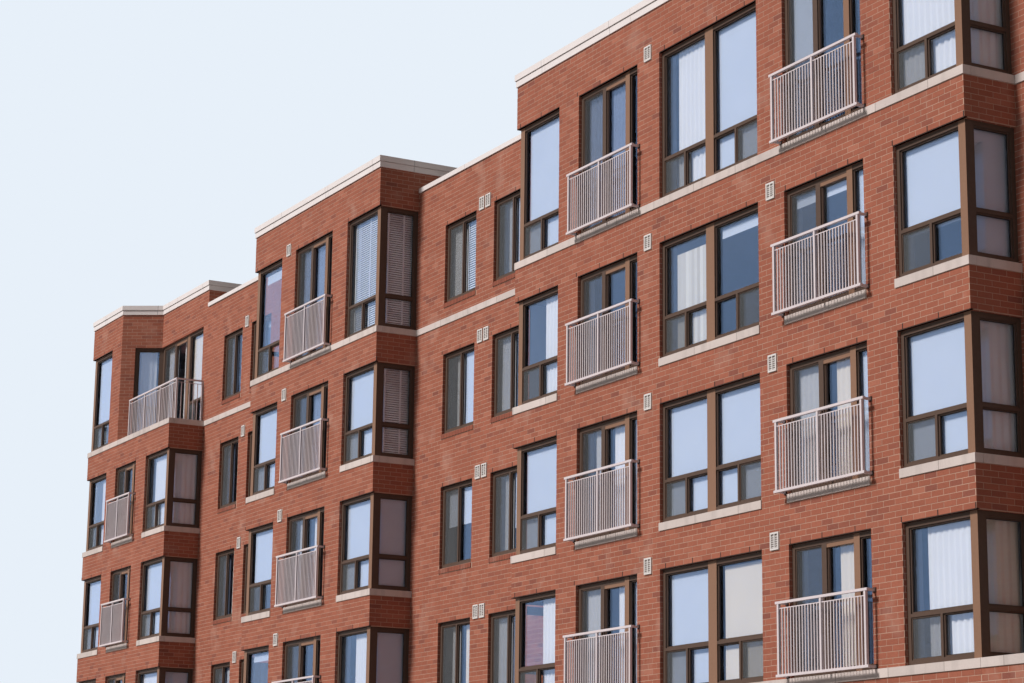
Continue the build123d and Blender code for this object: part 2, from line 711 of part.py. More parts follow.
def left_end_wall():
    """The free end of the block: plain brick behind its corner windows."""
    plate = block(WALL, DEPTH - WALL, 0, WALL, 0, HIGH_WALL_TOP)
    cutters = []
    for k in range(STOREYS):
        z = LEVEL[k]
        head = TALL_HEAD if k == TOP else HEAD_H
        cutters.append(hole(DEPTH - RECESS, DEPTH - WALL + 1, z, z + head))
        start = WALL - 1 if k in (1, TOP) else DEPTH - RECESS
        cutters.append(rebate(start, DEPTH - WALL + 1, z))
    return LEFT_END.put(carve(plate, cutters))


def party_wall():
    ground = block(LENGTH - WALL, LENGTH, FRONT_IN, BACK_IN, 0, LEVEL[1])
    upper = block(LENGTH - WALL, LENGTH, LINK_IN, BACK_IN, 0, LOW_WALL_TOP)
    return join([ground, upper])


def back_wall():
    plate = block(0, LENGTH, 0, WALL, 0, LOW_WALL_TOP)
    return BACK.put(carve(plate, cut_openings("back", range(STOREYS), LENGTH)))


def raised_walls():
    """Side and back walls of the raised bays, from the low roofs up to the high coping."""
    z0 = LOW_ROOF_TOP
    z1 = HIGH_WALL_TOP
    walls = [block(X_LEFT_END - WALL, X_LEFT_END, LINK_IN, BACK_IN, z0, z1)]
    for x in (X_MIDDLE, X_MIDDLE_END - WALL, X_MAIN, X_MAIN_END - WALL):
        walls.append(block(x, x + WALL, FRONT_IN, BACK_IN, z0, z1))
    for x0, x1 in ((X_LEFT, X_LEFT_END), (X_MIDDLE, X_MIDDLE_END), (X_MAIN, X_MAIN_END)):
        walls.append(block(x0, x1, BACK_IN, DEPTH, LOW_WALL_TOP, z1))
    return walls


def high_roofs():
    z0 = HIGH_ROOF_TOP - ROOF
    left = prism([LEFT_INNER[0], LEFT_INNER[1], LEFT_INNER[2], (X_LEFT_END - WALL, LINK_IN),
                  (X_LEFT_END - WALL, BACK_IN), LEFT_INNER[5]], z0, HIGH_ROOF_TOP)
    middle = block(X_MIDDLE + WALL, X_MIDDLE_END - WALL, FRONT_IN, BACK_IN, z0, HIGH_ROOF_TOP)
    main = block(X_MAIN + WALL, X_MAIN_END - WALL, FRONT_IN, BACK_IN, z0, HIGH_ROOF_TOP)
    return [left, middle, main]


def low_roofs():
    z0 = LOW_ROOF_TOP - ROOF
    return [block(X_LEFT_END - WALL, X_MIDDLE + WALL, LINK_IN, BACK_IN, z0, LOW_ROOF_TOP),
            block(X_MIDDLE_END - WALL, X_MAIN + WALL, LINK_IN, BACK_IN, z0, LOW_ROOF_TOP),
            block(X_MAIN_END - WALL, LENGTH - WALL, LINK_IN, BACK_IN, z0, LOW_ROOF_TOP)]


def write(name, solids):
    """One file a piece, every solid moved to the origin at the middle of the ground."""
    moved = [solid for piece in solids for solid in (ORIGIN * piece).solids()]
    export_step(Compound(children=moved) if len(moved) > 1 else moved[0], f"parts/{name}.step")
    print(name, len(moved))


def main():
    os.makedirs("parts", exist_ok=True)
    write("ground_slab", [slab(0)])
    for k in range(1, STOREYS):
        write(f"floor_{k}", [slab(k)])
    write("left_end_wall", [left_end_wall()])
    write("left_bay_front_wall", [front_wall("left_front", range(STOREYS), 0, LEVEL[TOP])])
    write("left_bay_top_wall", [left_bay_top_front()])
    write("terrace_slant_wall", [slant_wall()])
    write("terrace_back_wall", [terrace_back_wall()])
    write("left_bay_return_wall", return_spandrels(LEFT_RETURN, WALL, RECESS, range(STOREYS)))
    write("left_link_wall", [link_wall("left_link", True)])
    write("middle_bay_front_wall", [front_wall("middle_front", range(STOREYS), 0, HIGH_WALL_TOP)])
    write("middle_bay_return_walls",
          return_spandrels(MIDDLE_NEAR, 0, RECESS - WALL, range(STOREYS))
          + return_spandrels(MIDDLE_FAR, WALL, RECESS, range(STOREYS)))
    write("right_link_wall", [link_wall("right_link", True)])
    write("main_bay_front_wall", [front_wall("main_front", range(STOREYS), 0, HIGH_WALL_TOP)])
    write("main_bay_return_walls",
          return_spandrels(MAIN_NEAR, 0, RECESS - WALL, range(STOREYS))
          + return_spandrels(MAIN_FAR, WALL, RECESS, range(2, STOREYS)))
    write("end_link_wall", [link_wall("end_front", False)])
    write("end_link_ground_wall", [front_wall("end_ground", range(2), 0, LEVEL[1])])
    write("party_wall", [party_wall()])
    write("back_wall", [back_wall()])
    write("raised_bay_walls", raised_walls())
    write("high_roofs", high_roofs())
    write("low_roofs", low_roofs())
    write("left_bay_coping", high_coping(LEFT_PLAN))
    write("middle_bay_coping", high_coping(MIDDLE_PLAN))
    write("main_bay_coping", high_coping(MAIN_PLAN))
    write("link_copings", low_coping())
    write("top_band", band_stones(TOP))
    write("first_floor_band", band_stones(1))
    write("window_sills", [stone for k in (0, 2, 3) for stone in band_stones(k)])
    for k in range(STOREYS):
        frames, sheets = storey_units(k)
        write(f"window_frames_{k}", frames)
        write(f"window_glass_{k}", sheets)
    bays = (("left_bay", LEFT_FRONT, LEFT_DOORS, TOP), ("middle_bay", MIDDLE_FRONT, MIDDLE_DOORS, STOREYS),
            ("main_bay", MAIN_FRONT, MAIN_DOORS, STOREYS))
    for name, face, doors, count in bays:
        write(f"{name}_railings", [balconette(face, u0, u1, LEVEL[k]) for k in range(count)
                                   for u0, u1, kind in doors if kind != "pair"])
    write("terrace_railing", [terrace_railing()])
    write("wall_vents", wall_vents())


main()
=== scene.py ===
# %% [markdown]
# # A brick apartment block, dressed for its portrait
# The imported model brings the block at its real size: walls, floors, stones, copings, frames, glass and
# railings. This lesson gives each of them its finish and lays the small repeated things over them: bricks,
# glazing beads, screens, blinds, louvres. Equal things in rows are worked out as arrays of numbers, because
# a wall of bricks is a formula rather than a drawing.
# %% Load the frame
import math

import bpy
import numpy as np
from mathutils import Matrix, Vector


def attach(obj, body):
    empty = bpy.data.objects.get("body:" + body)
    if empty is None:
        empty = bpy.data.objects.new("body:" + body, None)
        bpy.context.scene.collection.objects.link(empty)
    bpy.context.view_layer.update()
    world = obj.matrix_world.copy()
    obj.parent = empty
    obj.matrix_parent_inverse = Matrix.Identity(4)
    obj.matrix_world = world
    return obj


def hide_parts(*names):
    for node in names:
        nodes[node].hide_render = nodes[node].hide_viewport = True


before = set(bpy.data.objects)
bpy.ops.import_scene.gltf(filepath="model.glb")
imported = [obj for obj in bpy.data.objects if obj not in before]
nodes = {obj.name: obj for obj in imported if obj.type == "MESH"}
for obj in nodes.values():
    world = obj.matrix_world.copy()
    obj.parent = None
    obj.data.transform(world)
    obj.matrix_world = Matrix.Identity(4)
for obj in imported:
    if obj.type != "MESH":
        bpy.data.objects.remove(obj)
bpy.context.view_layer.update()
rng = np.random.default_rng(31)

# %% [markdown]
# ## The sizes that everything repeats
# A bricklayer counts in courses: 31 of them make a storey, so the sills, bands and window heads of all
# storeys repeat on one lattice. Naming these few sizes once keeps each new piece on that lattice. All
# are metres, but for the number of the top storey. A level is the top of a storey's stone sills, the recess
# is how far the links stand back, and the phase is the height at which a course starts.
# %% Courses, storeys and stations
COURSE = 0.089
BRICK_LONG = 0.257
BRICK_TALL = 0.079
MORTAR = 0.010
BOND = BRICK_LONG + MORTAR
PROUD = 0.002
SUNK = 0.002
HAIR = 0.001
BASE = 10 * COURSE
STOREY = 31 * COURSE
TOP = 4
LEVELS = [BASE + k * STOREY for k in range(TOP + 1)]
HEAD = 1.991
TALL_HEAD = HEAD + 7 * COURSE
TERRACE_HEAD = 2.550
LINK_SILL = 0.330
STONE = 0.130
STONE_LAP = 0.012
LOW_ROOF = LEVELS[TOP] + TALL_HEAD
LOW_TOP = LOW_ROOF + 0.394
HIGH_TOP = LOW_ROOF + 0.846
LENGTH = 39.690
DEPTH = 15.000
RECESS = 0.938
WALL = 0.350
MIDDLE = np.array([19.8225, 7.4275, 0.0])
X_LEFT_END, X_MIDDLE, X_MIDDLE_END, X_MAIN, X_MAIN_END = 6.260, 11.610, 18.390, 24.390, 37.350
MIDDLE_RUN = 6.780
MAIN_RUN = 12.960
TERRACE_X = 2.350
TERRACE_RUN = 0.590
PHASE = (BASE - STONE) % COURSE
print("floors at", [round(z, 3) for z in LEVELS], "courses start at", round(PHASE, 3))

# %% [markdown]
# ## One way to point at any place on the outside
# The front steps in and out, so x and y are awkward. Each flat stretch of wall gets its own ruler instead:
# u runs along it, v runs into the building and z is height. The same formula then serves all faces.
# %% A ruler for each stretch of wall


class Wall:
    """A stretch of outside wall. A point is foot + u * along + v * inward + z * up."""

    def __init__(self, name, x, y, turn, length, foot, top, laps=(0.0, 0.0), parity=0, blanks=()):
        self.name, self.length, self.low, self.high = name, length, foot, top
        self.laps, self.parity, self.blanks = laps, parity, list(blanks)
        a = math.radians(turn)
        self.foot = np.array([x, y, 0.0]) - MIDDLE
        self.axes = np.array([[math.cos(a), math.sin(a), 0], [-math.sin(a), math.cos(a), 0], [0, 0, 1]])

    def place(self, points):
        """Points given as u, v and z, turned into the block's own x, y and z."""
        return self.foot + points @ self.axes


SIDE = DEPTH - RECESS
SLANT = math.hypot(TERRACE_RUN, RECESS)
SLANT_TURN = math.degrees(math.atan2(RECESS, TERRACE_RUN))
BEHIND = 99.0
BACK_LINKS = [(LENGTH - X_MIDDLE, LENGTH - X_LEFT_END, LOW_TOP, BEHIND),
              (LENGTH - X_MAIN, LENGTH - X_MIDDLE_END, LOW_TOP, BEHIND),
              (0, LENGTH - X_MAIN_END, LOW_TOP, BEHIND)]
L, P = LEVELS, PROUD
WALLS = {w.name: w for w in [
    Wall("left_front", 0, 0, 0, X_LEFT_END, 0, HIGH_TOP, (P, P), 0, [(TERRACE_X, BEHIND, L[TOP], BEHIND)]),
    Wall("slant", TERRACE_X, 0, SLANT_TURN, SLANT, L[TOP], HIGH_TOP, (0, -P), 1),
    Wall("terrace_back", TERRACE_X + TERRACE_RUN, RECESS, 0, X_LEFT_END - TERRACE_X - TERRACE_RUN,
         L[TOP], HIGH_TOP, (0, P), 0),
    Wall("left_return", X_LEFT_END, 0, 90, RECESS, 0, L[TOP], (0, -P), 1),
    Wall("left_link", X_LEFT_END, RECESS, 0, X_MIDDLE - X_LEFT_END, 0, LOW_TOP),
    Wall("middle_near", X_MIDDLE, RECESS, -90, RECESS, 0, HIGH_TOP, (-P, 0), 1),
    Wall("middle_front", X_MIDDLE, 0, 0, X_MIDDLE_END - X_MIDDLE, 0, HIGH_TOP, (P, P), 0),
    Wall("middle_far", X_MIDDLE_END, 0, 90, RECESS, 0, HIGH_TOP, (0, -P), 1),
    Wall("right_link", X_MIDDLE_END, RECESS, 0, X_MAIN - X_MIDDLE_END, 0, LOW_TOP),
    Wall("main_near", X_MAIN, RECESS, -90, RECESS, 0, HIGH_TOP, (-P, 0), 1),
    Wall("main_front", X_MAIN, 0, 0, X_MAIN_END - X_MAIN, 0, HIGH_TOP, (P, P), 0,
         [(MAIN_RUN, BEHIND, 0, L[1])]),
    Wall("main_far", X_MAIN_END, 0, 90, RECESS, L[1], HIGH_TOP, (0, -P), 1),
    Wall("end_front", X_MAIN_END, RECESS, 0, LENGTH - X_MAIN_END, L[1], LOW_TOP),
    Wall("end_ground", X_MAIN_END, 0, 0, LENGTH - X_MAIN_END, 0, L[1]),
    Wall("left_end", 0, DEPTH, -90, DEPTH, 0, HIGH_TOP, (0, 0), 1),
    Wall("back", LENGTH, DEPTH, 180, LENGTH, 0, HIGH_TOP, (0, P), 0, BACK_LINKS)]}
LINKS = ("left_link", "right_link", "end_front", "end_ground")

# %% [markdown]
# ## Sides that show over the low roofs
# The bays stand higher than the links, so the upper strips of their long sides are seen over the low roofs.
# All five are alike, and where they meet the low parapets the bricks begin a little above the parapet's wall.
# %% Rulers of the raised sides
RAISED = {"left_side": X_LEFT_END, "middle_side_near": X_MIDDLE, "middle_side_far": X_MIDDLE_END,
          "main_side_near": X_MAIN, "main_side_far": X_MAIN_END}
SKIRT, LAP_IN, LAP_UP = 0.02, 0.05, 0.105
PARAPET_LAP = [(-1, WALL + LAP_IN, 0, LOW_TOP + LAP_UP), (SIDE - WALL - LAP_IN, BEHIND, 0, LOW_TOP + LAP_UP)]
for name, x in RAISED.items():
    y, turn = (DEPTH, -90) if name.endswith("near") else (RECESS, 90)
    WALLS[name] = Wall(name, x, y, turn, SIDE, LOW_ROOF + SKIRT, HIGH_TOP, (0, 0), 0, PARAPET_LAP)
print(len(WALLS), "stretches of wall,", round(sum(w.length for w in WALLS.values()), 1), "m in all")

# %% [markdown]
# ## Where the openings are
# Each bay has a window that wraps each of its corners, and doors or a paired window between. The links have
# two windows each, the end link one. A list of spans along each ruler is all that bricks, beads and blinds
# need to know.
# %% Openings of each wall on each storey
CORNER, PAIR, SLANT_JAMB, TERRACE_GLAZED = 1.610, 2.900, 0.370, 3.010
LEFT_BAY = [(0, CORNER, "corner_left"), (2.35, 3.91, "left_door"), (4.65, X_LEFT_END, "corner_right")]
MIDDLE_BAY = [(0, CORNER, "corner_left"), (2.385, 4.395, "door"), (5.17, MIDDLE_RUN, "corner_right")]
MAIN_BAY = [(0, CORNER, "corner_left"), (2.315, 4.325, "door"), (5.03, 7.93, "pair"),
            (8.635, 10.645, "door"), (11.35, MAIN_RUN, "corner_right")]
LEFT_LINK = [(1.17, 2.38, "link"), (2.97, 4.18, "link")]
RIGHT_LINK = [(1.25, 2.62, "link"), (3.38, 4.75, "link")]
END_LINK = [(0.485, 1.855, "link")]


def back_spans():
    """The back repeats the same windows, measured from its own left end."""
    middles = [LENGTH - x for x in (3.13, 15.00, X_MAIN + MAIN_RUN / 4, X_MAIN + MAIN_RUN * 3 / 4)]
    found = [(m - PAIR / 2, m + PAIR / 2, "pair") for m in middles]
    for start, link in ((LENGTH - X_MIDDLE, LEFT_LINK), (LENGTH - X_MAIN, RIGHT_LINK), (0, END_LINK)):
        found += [(start + a, start + b, kind) for a, b, kind in link]
    return found


def spans(name, k):
    """Openings along a wall on storey k, each as start, end and kind."""
    if name == "left_front":
        return LEFT_BAY[:1] if k == TOP else LEFT_BAY
    if name == "main_front" and k == 0:
        return MAIN_BAY[:-1] + [(11.35, 12.60, "single")]
    if name in ("end_front", "end_ground"):
        return END_LINK if (k == 0) == (name == "end_ground") else []
    return {"middle_front": MIDDLE_BAY, "main_front": MAIN_BAY, "left_link": LEFT_LINK,
            "right_link": RIGHT_LINK, "back": back_spans()}.get(name, [])


def head_of(k, link=False):
    """Head of the openings of storey k: those of the top storey are taller, except in the links."""
    return LEVELS[k] + (TALL_HEAD if k == TOP and not link else HEAD)


def heights(kind, k):
    """Foot and head of an opening."""
    return LEVELS[k] + (LINK_SILL if kind == "link" else 0.0), head_of(k, kind == "link")


GLAZED_RETURNS = {"left_return": range(0, 4), "middle_near": range(5), "middle_far": range(5),
                  "main_near": range(5), "main_far": range(1, 5), "left_end": range(5)}
print("openings:", sum(len(spans(n, k)) for n in WALLS for k in range(TOP + 1)), "in flat walls")

# %% [markdown]
# ## A heap of small shapes becomes one mesh
# Thousands of separate objects would be slow and would fall apart in an export. Each kind of small thing is
# stacked into one heap of points and four-cornered faces, and the heap is handed to the mesh in one go.
# %% Gather shapes
BOX_CORNERS = np.array([[i, j, k] for k in (0, 1) for j in (0, 1) for i in (0, 1)])
BOX_FACES = np.array([[0, 1, 5, 4], [3, 2, 6, 7], [2, 0, 4, 6], [1, 3, 7, 5], [0, 2, 3, 1], [4, 5, 7, 6]])


def rows(*columns):
    """Columns of numbers side by side; a single number is repeated all the way down."""
    return np.stack(np.broadcast_arrays(*columns), 1)


class Heap:
    """Points and faces of many shapes, with one number a point for its tone."""

    def __init__(self):
        self.points, self.faces, self.tones, self.count = [], [], [], 0

    def add(self, points, faces, tones):
        """Takes in points, faces that count from the first of them, and a tone for each point."""
        self.points.append(points)
        self.faces.append(faces + self.count)
        self.tones.append(tones)
        self.count += len(points)

    def boxes(self, wall, low, high, tones=None, lean=None):
        """Boxes between two corners in a wall's own u, v, z: corner = low + choice * (high - low)."""
        low, high = np.atleast_2d(low).astype(float), np.atleast_2d(high).astype(float)
        corners = low[:, None, :] + BOX_CORNERS[None] * (high - low)[:, None, :]
        if lean is not None:
            corners = lean(corners)
        n = len(low)
        tones = np.full(n, 0.5) if tones is None else np.asarray(tones, float)
        faces = (BOX_FACES[None] + 8 * np.arange(n)[:, None, None]).reshape(-1, 4)
        self.add(wall.place(corners.reshape(-1, 3)), faces, np.repeat(tones, 8))

    def rings(self, wall, u0, u1, z0, z1, v0, v1, width):
        """A rectangular ring of four bars inside a pane."""
        inner = z0 + width
        self.boxes(wall, [(u0, v0, z0), (u0, v0, z1 - width), (u0, v0, inner), (u1 - width, v0, inner)],
                   [(u1, v1, inner), (u1, v1, z1), (u0 + width, v1, z1 - width), (u1, v1, z1 - width)])


print("a box has", len(BOX_FACES), "faces")

# %% [markdown]
# ## From the heap to an object
# Blender's mesh keeps its points, its corners and its faces in long plain arrays. Filling them at once is far
# faster than adding vertex after vertex. The object stays at the origin, since the walls' rulers have put
# every point in its place.
# %% Make a piece


def make_piece(name, heap, finish, soft=False):
    """One object from a heap, riding on the block. Only cloth is shaded as a smooth surface."""
    points, faces = np.concatenate(heap.points), np.concatenate(heap.faces)
    mesh = bpy.data.meshes.new(name)
    mesh.vertices.add(len(points))
    mesh.vertices.foreach_set("co", points.astype(np.float32).ravel())
    mesh.loops.add(faces.size)
    mesh.loops.foreach_set("vertex_index", faces.astype(np.int32).ravel())
    mesh.polygons.add(len(faces))
    mesh.polygons.foreach_set("loop_start", np.arange(0, faces.size, 4, dtype=np.int32))
    mesh.update(calc_edges=True)
    mesh.attributes.new("tone", "FLOAT", "POINT").data.foreach_set(
        "value", np.concatenate(heap.tones).astype(np.float32))
    mesh.polygons.foreach_set("use_smooth", np.full(len(faces), soft))
    mesh.materials.append(finish)
    piece = bpy.data.objects.new(name, mesh)
    bpy.context.scene.collection.objects.link(piece)
    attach(piece, "root")
    print(name, len(points), "points,", 2 * len(faces), "triangles")
    return piece


# %% [markdown]
# ## Shader sums written as sums
# A pattern such as a brick bond is arithmetic on a position. This small class lets a socket be used in a
# Python expression, and each operator quietly adds the Math node that does it.
# %% A socket that can be added and multiplied


class Value:
    """A number that varies over a surface."""

    def __init__(self, tree, socket):
        self.tree, self.socket = tree, socket

    def _do(self, operation, *terms):
        """The Math node that does an operation on these terms."""
        return self.tree.node("ShaderNodeMath", {"operation": operation}, dict(enumerate(terms)))

    def __add__(self, other):
        return self._do("ADD", self, other)

    def __sub__(self, other):
        return self._do("SUBTRACT", self, other)

    def __rsub__(self, other):
        return self._do("SUBTRACT", other, self)

    def __mul__(self, other):
        return self._do("MULTIPLY", self, other)

    def __truediv__(self, other):
        return self._do("DIVIDE", self, other)

    def __mod__(self, other):
        return self._do("FLOORED_MODULO", self, other)

    def __gt__(self, other):
        return self._do("GREATER_THAN", self, other)

    def __lt__(self, other):
        return self._do("LESS_THAN", self, other)

    def __abs__(self):
        return self._do("ABSOLUTE", self)

    def floor(self):
        return self._do("FLOOR", self)

    def least(self, other):
        return self._do("MINIMUM", self, other)

    def most(self, other):
        return self._do("MAXIMUM", self, other)

    __radd__ = __add__
    __rmul__ = __mul__


# %% [markdown]
# ## One method for every other node
# A node needs its options set before its inputs, because an option can change which inputs there are. One
# method does this, for materials and for the world alike.
# %% A tree of nodes


class Tree:
    """The nodes of a material or of the world."""

    def __init__(self, tree):
        self.tree = tree

    def node(self, kind, settings, sockets, output=0):
        """A node of a kind: its options first, then a value or a link for each named or numbered socket."""
        made = self.tree.nodes.new(kind)
        for option, value in settings.items():
            if option == "stops":
                ramp = made.color_ramp.elements
                while len(ramp) < len(value):
                    ramp.new(0.5)
                for stop, (at, colour) in zip(ramp, value):
                    stop.position, stop.color = at, (*colour, 1)
            else:
                setattr(made, option, value)
        for socket, value in sockets.items():
            if isinstance(value, Value):
                self.tree.links.new(value.socket, made.inputs[socket])
            else:
                made.inputs[socket].default_value = value
        return Value(self, made.outputs[output])

    def seen(self):
        """1 for what the camera, a mirror or clear glass looks at, 0 for light thrown on other things."""
        camera, mirror, pane = [self.node("ShaderNodeLightPath", {}, {}, f"Is {ray} Ray")
                                for ray in ("Camera", "Glossy", "Transmission")]
        return camera.most(mirror).most(pane)


# %% [markdown]
# ## A finish is a shader and the patterns that feed it
# Real surfaces are never one colour, so most finishes mix close colours by cloudy noise, darken them where
# dirt lies, and turn some pattern into relief. These few methods are the strokes that they share.
# %% A material under construction


class Finish(Tree):
    """A material with one principled shader."""

    def __init__(self, name, **constants):
        self.material = bpy.data.materials.new(name)
        self.material.use_nodes = True
        super().__init__(self.material.node_tree)
        self.shader = self.tree.nodes["Principled BSDF"]
        for socket, value in constants.items():
            self.shader.inputs[socket.replace("_", " ")].default_value = value

    def spot(self):
        """The point on the block, as a vector in metres."""
        return self.node("ShaderNodeTexCoord", {}, {}, "Object")

    def parts(self, vector):
        """x, y and z of a vector."""
        return [self.node("ShaderNodeSeparateXYZ", {}, {0: vector}, i) for i in range(3)]

    def facing(self):
        """x, y and z of the way the surface faces."""
        return self.parts(self.node("ShaderNodeNewGeometry", {}, {}, "Normal"))

    def tone(self):
        """The tone that a piece carries on its points."""
        return self.node("ShaderNodeAttribute", {"attribute_name": "tone"}, {}, "Fac")

    def noise(self, scale, detail=2.0, stretch=(1, 1, 1)):
        """Cloudy variation between 0 and 1, about scale spots a metre."""
        spread = self.node("ShaderNodeMapping", {}, {"Vector": self.spot(), "Scale": stretch})
        return self.node("ShaderNodeTexNoise", {}, {"Vector": spread, "Scale": scale, "Detail": detail})

    def mix(self, share, first, second):
        """A colour between two colours."""
        values = {0: share}
        for socket, colour in ((6, first), (7, second)):
            values[socket] = colour if isinstance(colour, Value) else (*colour, 1)
        return self.node("ShaderNodeMix", {"data_type": "RGBA"}, values, 2)

    def shade(self, colour, share, deep):
        """A colour darkened by up to deep where share is high."""
        values = {0: share, 6: colour, 7: (1 - deep, 1 - deep, 1 - deep, 1)}
        return self.node("ShaderNodeMix", {"data_type": "RGBA", "blend_type": "MULTIPLY"}, values, 2)

    def feed(self, **sockets):
        """Plug finished values into the shader."""
        for socket, value in sockets.items():
            self.tree.links.new(value.socket, self.shader.inputs[socket.replace("_", " ")])

    def bump(self, height, distance, strength=1.0):
        """Relief of a height pattern."""
        self.feed(Normal=self.node("ShaderNodeBump", {}, {"Height": height, "Distance": distance,
                                                          "Strength": strength}))


# %% [markdown]
# ## Brick and mortar
# Red-orange clay bricks with a dragged face, some burnt darker and purplish, with pale mortar between. The
# wall of the model is the mortar, and real bricks stand two millimetres proud of it, so a raking light
# catches every joint. Each brick carries one number, its tone, and the colour follows from it.
# %% The clay of one brick
BRICK_TONES = [(0.0, (0.275, 0.092, 0.064)), (0.05, (0.320, 0.104, 0.068)), (0.14, (0.358, 0.114, 0.070)),
               (0.60, (0.386, 0.124, 0.075)), (0.92, (0.415, 0.136, 0.083)), (1.0, (0.455, 0.165, 0.104))]
BLOOM = (0.50, 0.31, 0.24)
MATT = 0.12


def clay(finish, tone):
    """Tone to colour through a ramp, then blotches, weather and a pale bloom."""
    colour = finish.node("ShaderNodeValToRGB", {"stops": BRICK_TONES}, {0: tone})
    colour = finish.shade(colour, finish.noise(34.0, 3.0), 0.26)
    colour = finish.shade(colour, finish.noise(0.55, 3.0, (1, 1, 0.45)), 0.20)
    bloom = (finish.noise(1.3, 4.0) - 0.60) * 2.0
    return finish.mix(bloom.most(0.0).least(0.30), colour, BLOOM)


brick = Finish("brick_clay", Roughness=0.86, Specular_IOR_Level=MATT)
brick.feed(Base_Color=clay(brick, brick.tone()))
brick.bump(brick.noise(150.0, 3.0), 0.004, 0.5)
print("brick tones:", len(BRICK_TONES))

# %% [markdown]
# ## How deep a point lies behind the outside
# One material serves all wall nodes, and what it paints depends on the depth behind the outer face. The face
# steps in at the links and slants at the terrace, so the depth is the least distance to any face.
# %% Depth inside the wall nodes
masonry = Finish("masonry", Roughness=0.9, Specular_IOR_Level=MATT)
x, y, z = masonry.parts(masonry.spot())
x, y = x + MIDDLE[0], y + MIDDLE[1]
on_bay = (x < X_LEFT_END + HAIR) * (1 - (z > L[TOP]) * (x > TERRACE_X))
for start, end in ((X_MIDDLE, X_MIDDLE_END), (X_MAIN, X_MAIN_END)):
    on_bay = on_bay + (x > start - HAIR) * (x < end + HAIR)
behind = (x - TERRACE_X) * (RECESS / TERRACE_RUN)
face = (1 - (z > L[TOP]) * (x < TERRACE_X + TERRACE_RUN)) * RECESS + (z > L[TOP]) * behind.least(RECESS)
depth = (y - (1 - on_bay.least(1.0)) * face.least(RECESS)).least(DEPTH - y).least(x)
for station in (X_LEFT_END, X_MIDDLE, X_MIDDLE_END, X_MAIN, X_MAIN_END):
    depth = depth.least(abs(x - station))
outer, within, aloft, party = depth < 0.003, depth > 0.125, z > LOW_ROOF, x > LENGTH - 0.01
print("depth takes", len(masonry.tree.nodes), "nodes")

# %% [markdown]
# ## Masonry of the wall nodes
# The walls' material is mortar on the outer planes, a drawn bond on the sides of the openings, where no
# separate brick is laid, grey blocks on the party wall, painted plaster indoors and roofing felt on the
# inner sides of the parapets.
# %% Mortar, drawn bricks, blocks, plaster and felt
BLOCK_LONG, BLOCK_TALL = 0.4, 0.2
course = (z - PHASE) / COURSE
run = (x + y + (course.floor() % 2.0) * (BOND / 2)) / BOND
joint = ((course % 1.0) > BRICK_TALL / COURSE).most((run % 1.0) > BRICK_LONG / BOND)
drawn_tone = masonry.node("ShaderNodeTexWhiteNoise", {"noise_dimensions": "2D"}, {
    "Vector": masonry.node("ShaderNodeCombineXYZ", {}, {0: course.floor(), 1: run.floor()})})
grit = masonry.noise(60.0, 3.0)
mortar = masonry.mix(grit, (0.585, 0.350, 0.255), (0.42, 0.26, 0.19))
mortar = masonry.shade(mortar, masonry.noise(0.7), 0.25)
drawn = masonry.mix(joint, clay(masonry, drawn_tone), mortar)
row = z / BLOCK_TALL
step = (y + (row.floor() % 2.0) * (BLOCK_LONG / 2)) / BLOCK_LONG
block_joint = ((row % 1.0) > 0.95).most((step % 1.0) > 0.975)
blocks = masonry.mix(grit, (0.40, 0.38, 0.36), (0.31, 0.30, 0.285))
blocks = masonry.shade(blocks, masonry.noise(0.9, 3.0), 0.25)
blocks = masonry.mix(block_joint, blocks, (0.47, 0.45, 0.42))
felt = masonry.mix(masonry.noise(9.0, 3.0), (0.27, 0.26, 0.255), (0.20, 0.195, 0.19))
plaster = masonry.mix(masonry.noise(3.0, 2.0), (0.56, 0.55, 0.53), (0.48, 0.47, 0.46))
colour = masonry.mix(within, masonry.mix(outer, drawn, mortar), masonry.mix(aloft, plaster, felt))
masonry.feed(Base_Color=masonry.mix(party, colour, blocks))
masonry.bump(grit * 0.6 - joint * (1.0 - outer) * 1.5, 0.004, 0.6)
print("masonry nodes:", len(masonry.tree.nodes))

# %% [markdown]
# ## Stone of the bands and sills
# The bands and sills are pale cast stone in lengths of about four feet, so a fine joint crosses them. Each
# length has its own tone, and rain has left faint upright drips. The joint follows whichever of x and y runs
# along the face, which its normal tells.
# %% Cast stone
STONE_LONG = 1.22
stone = Finish("cast_stone", Roughness=0.8, Specular_IOR_Level=MATT)
x, y = stone.parts(stone.spot())[:2]
nx, ny = stone.facing()[:2]
block = (x * (abs(ny) > 0.5) + y * (abs(nx) > 0.5) + 0.31) / STONE_LONG
seam = (block % 1.0) < 0.0075
block_tone = stone.node("ShaderNodeTexWhiteNoise", {"noise_dimensions": "1D"}, {"W": block.floor()}) * 0.5
grain = stone.noise(38.0, 4.0)
tone = stone.mix(grain, (0.730, 0.610, 0.555), (0.630, 0.520, 0.470))
tone = stone.shade(stone.shade(tone, block_tone, 0.30), stone.noise(1.1, 4.0, (1, 1, 3)), 0.22)
drip = (stone.noise(5.0, 3.0, (1, 1, 0.2)) - 0.5) * 1.6
tone = stone.shade(tone, drip.most(0.0).least(1.0), 0.45)
stone.feed(Base_Color=stone.mix(seam, tone, (0.24, 0.19, 0.165)))
stone.bump(grain * 0.5 - seam * 2.0, 0.003, 0.7)
print("stone nodes:", len(stone.tree.nodes))

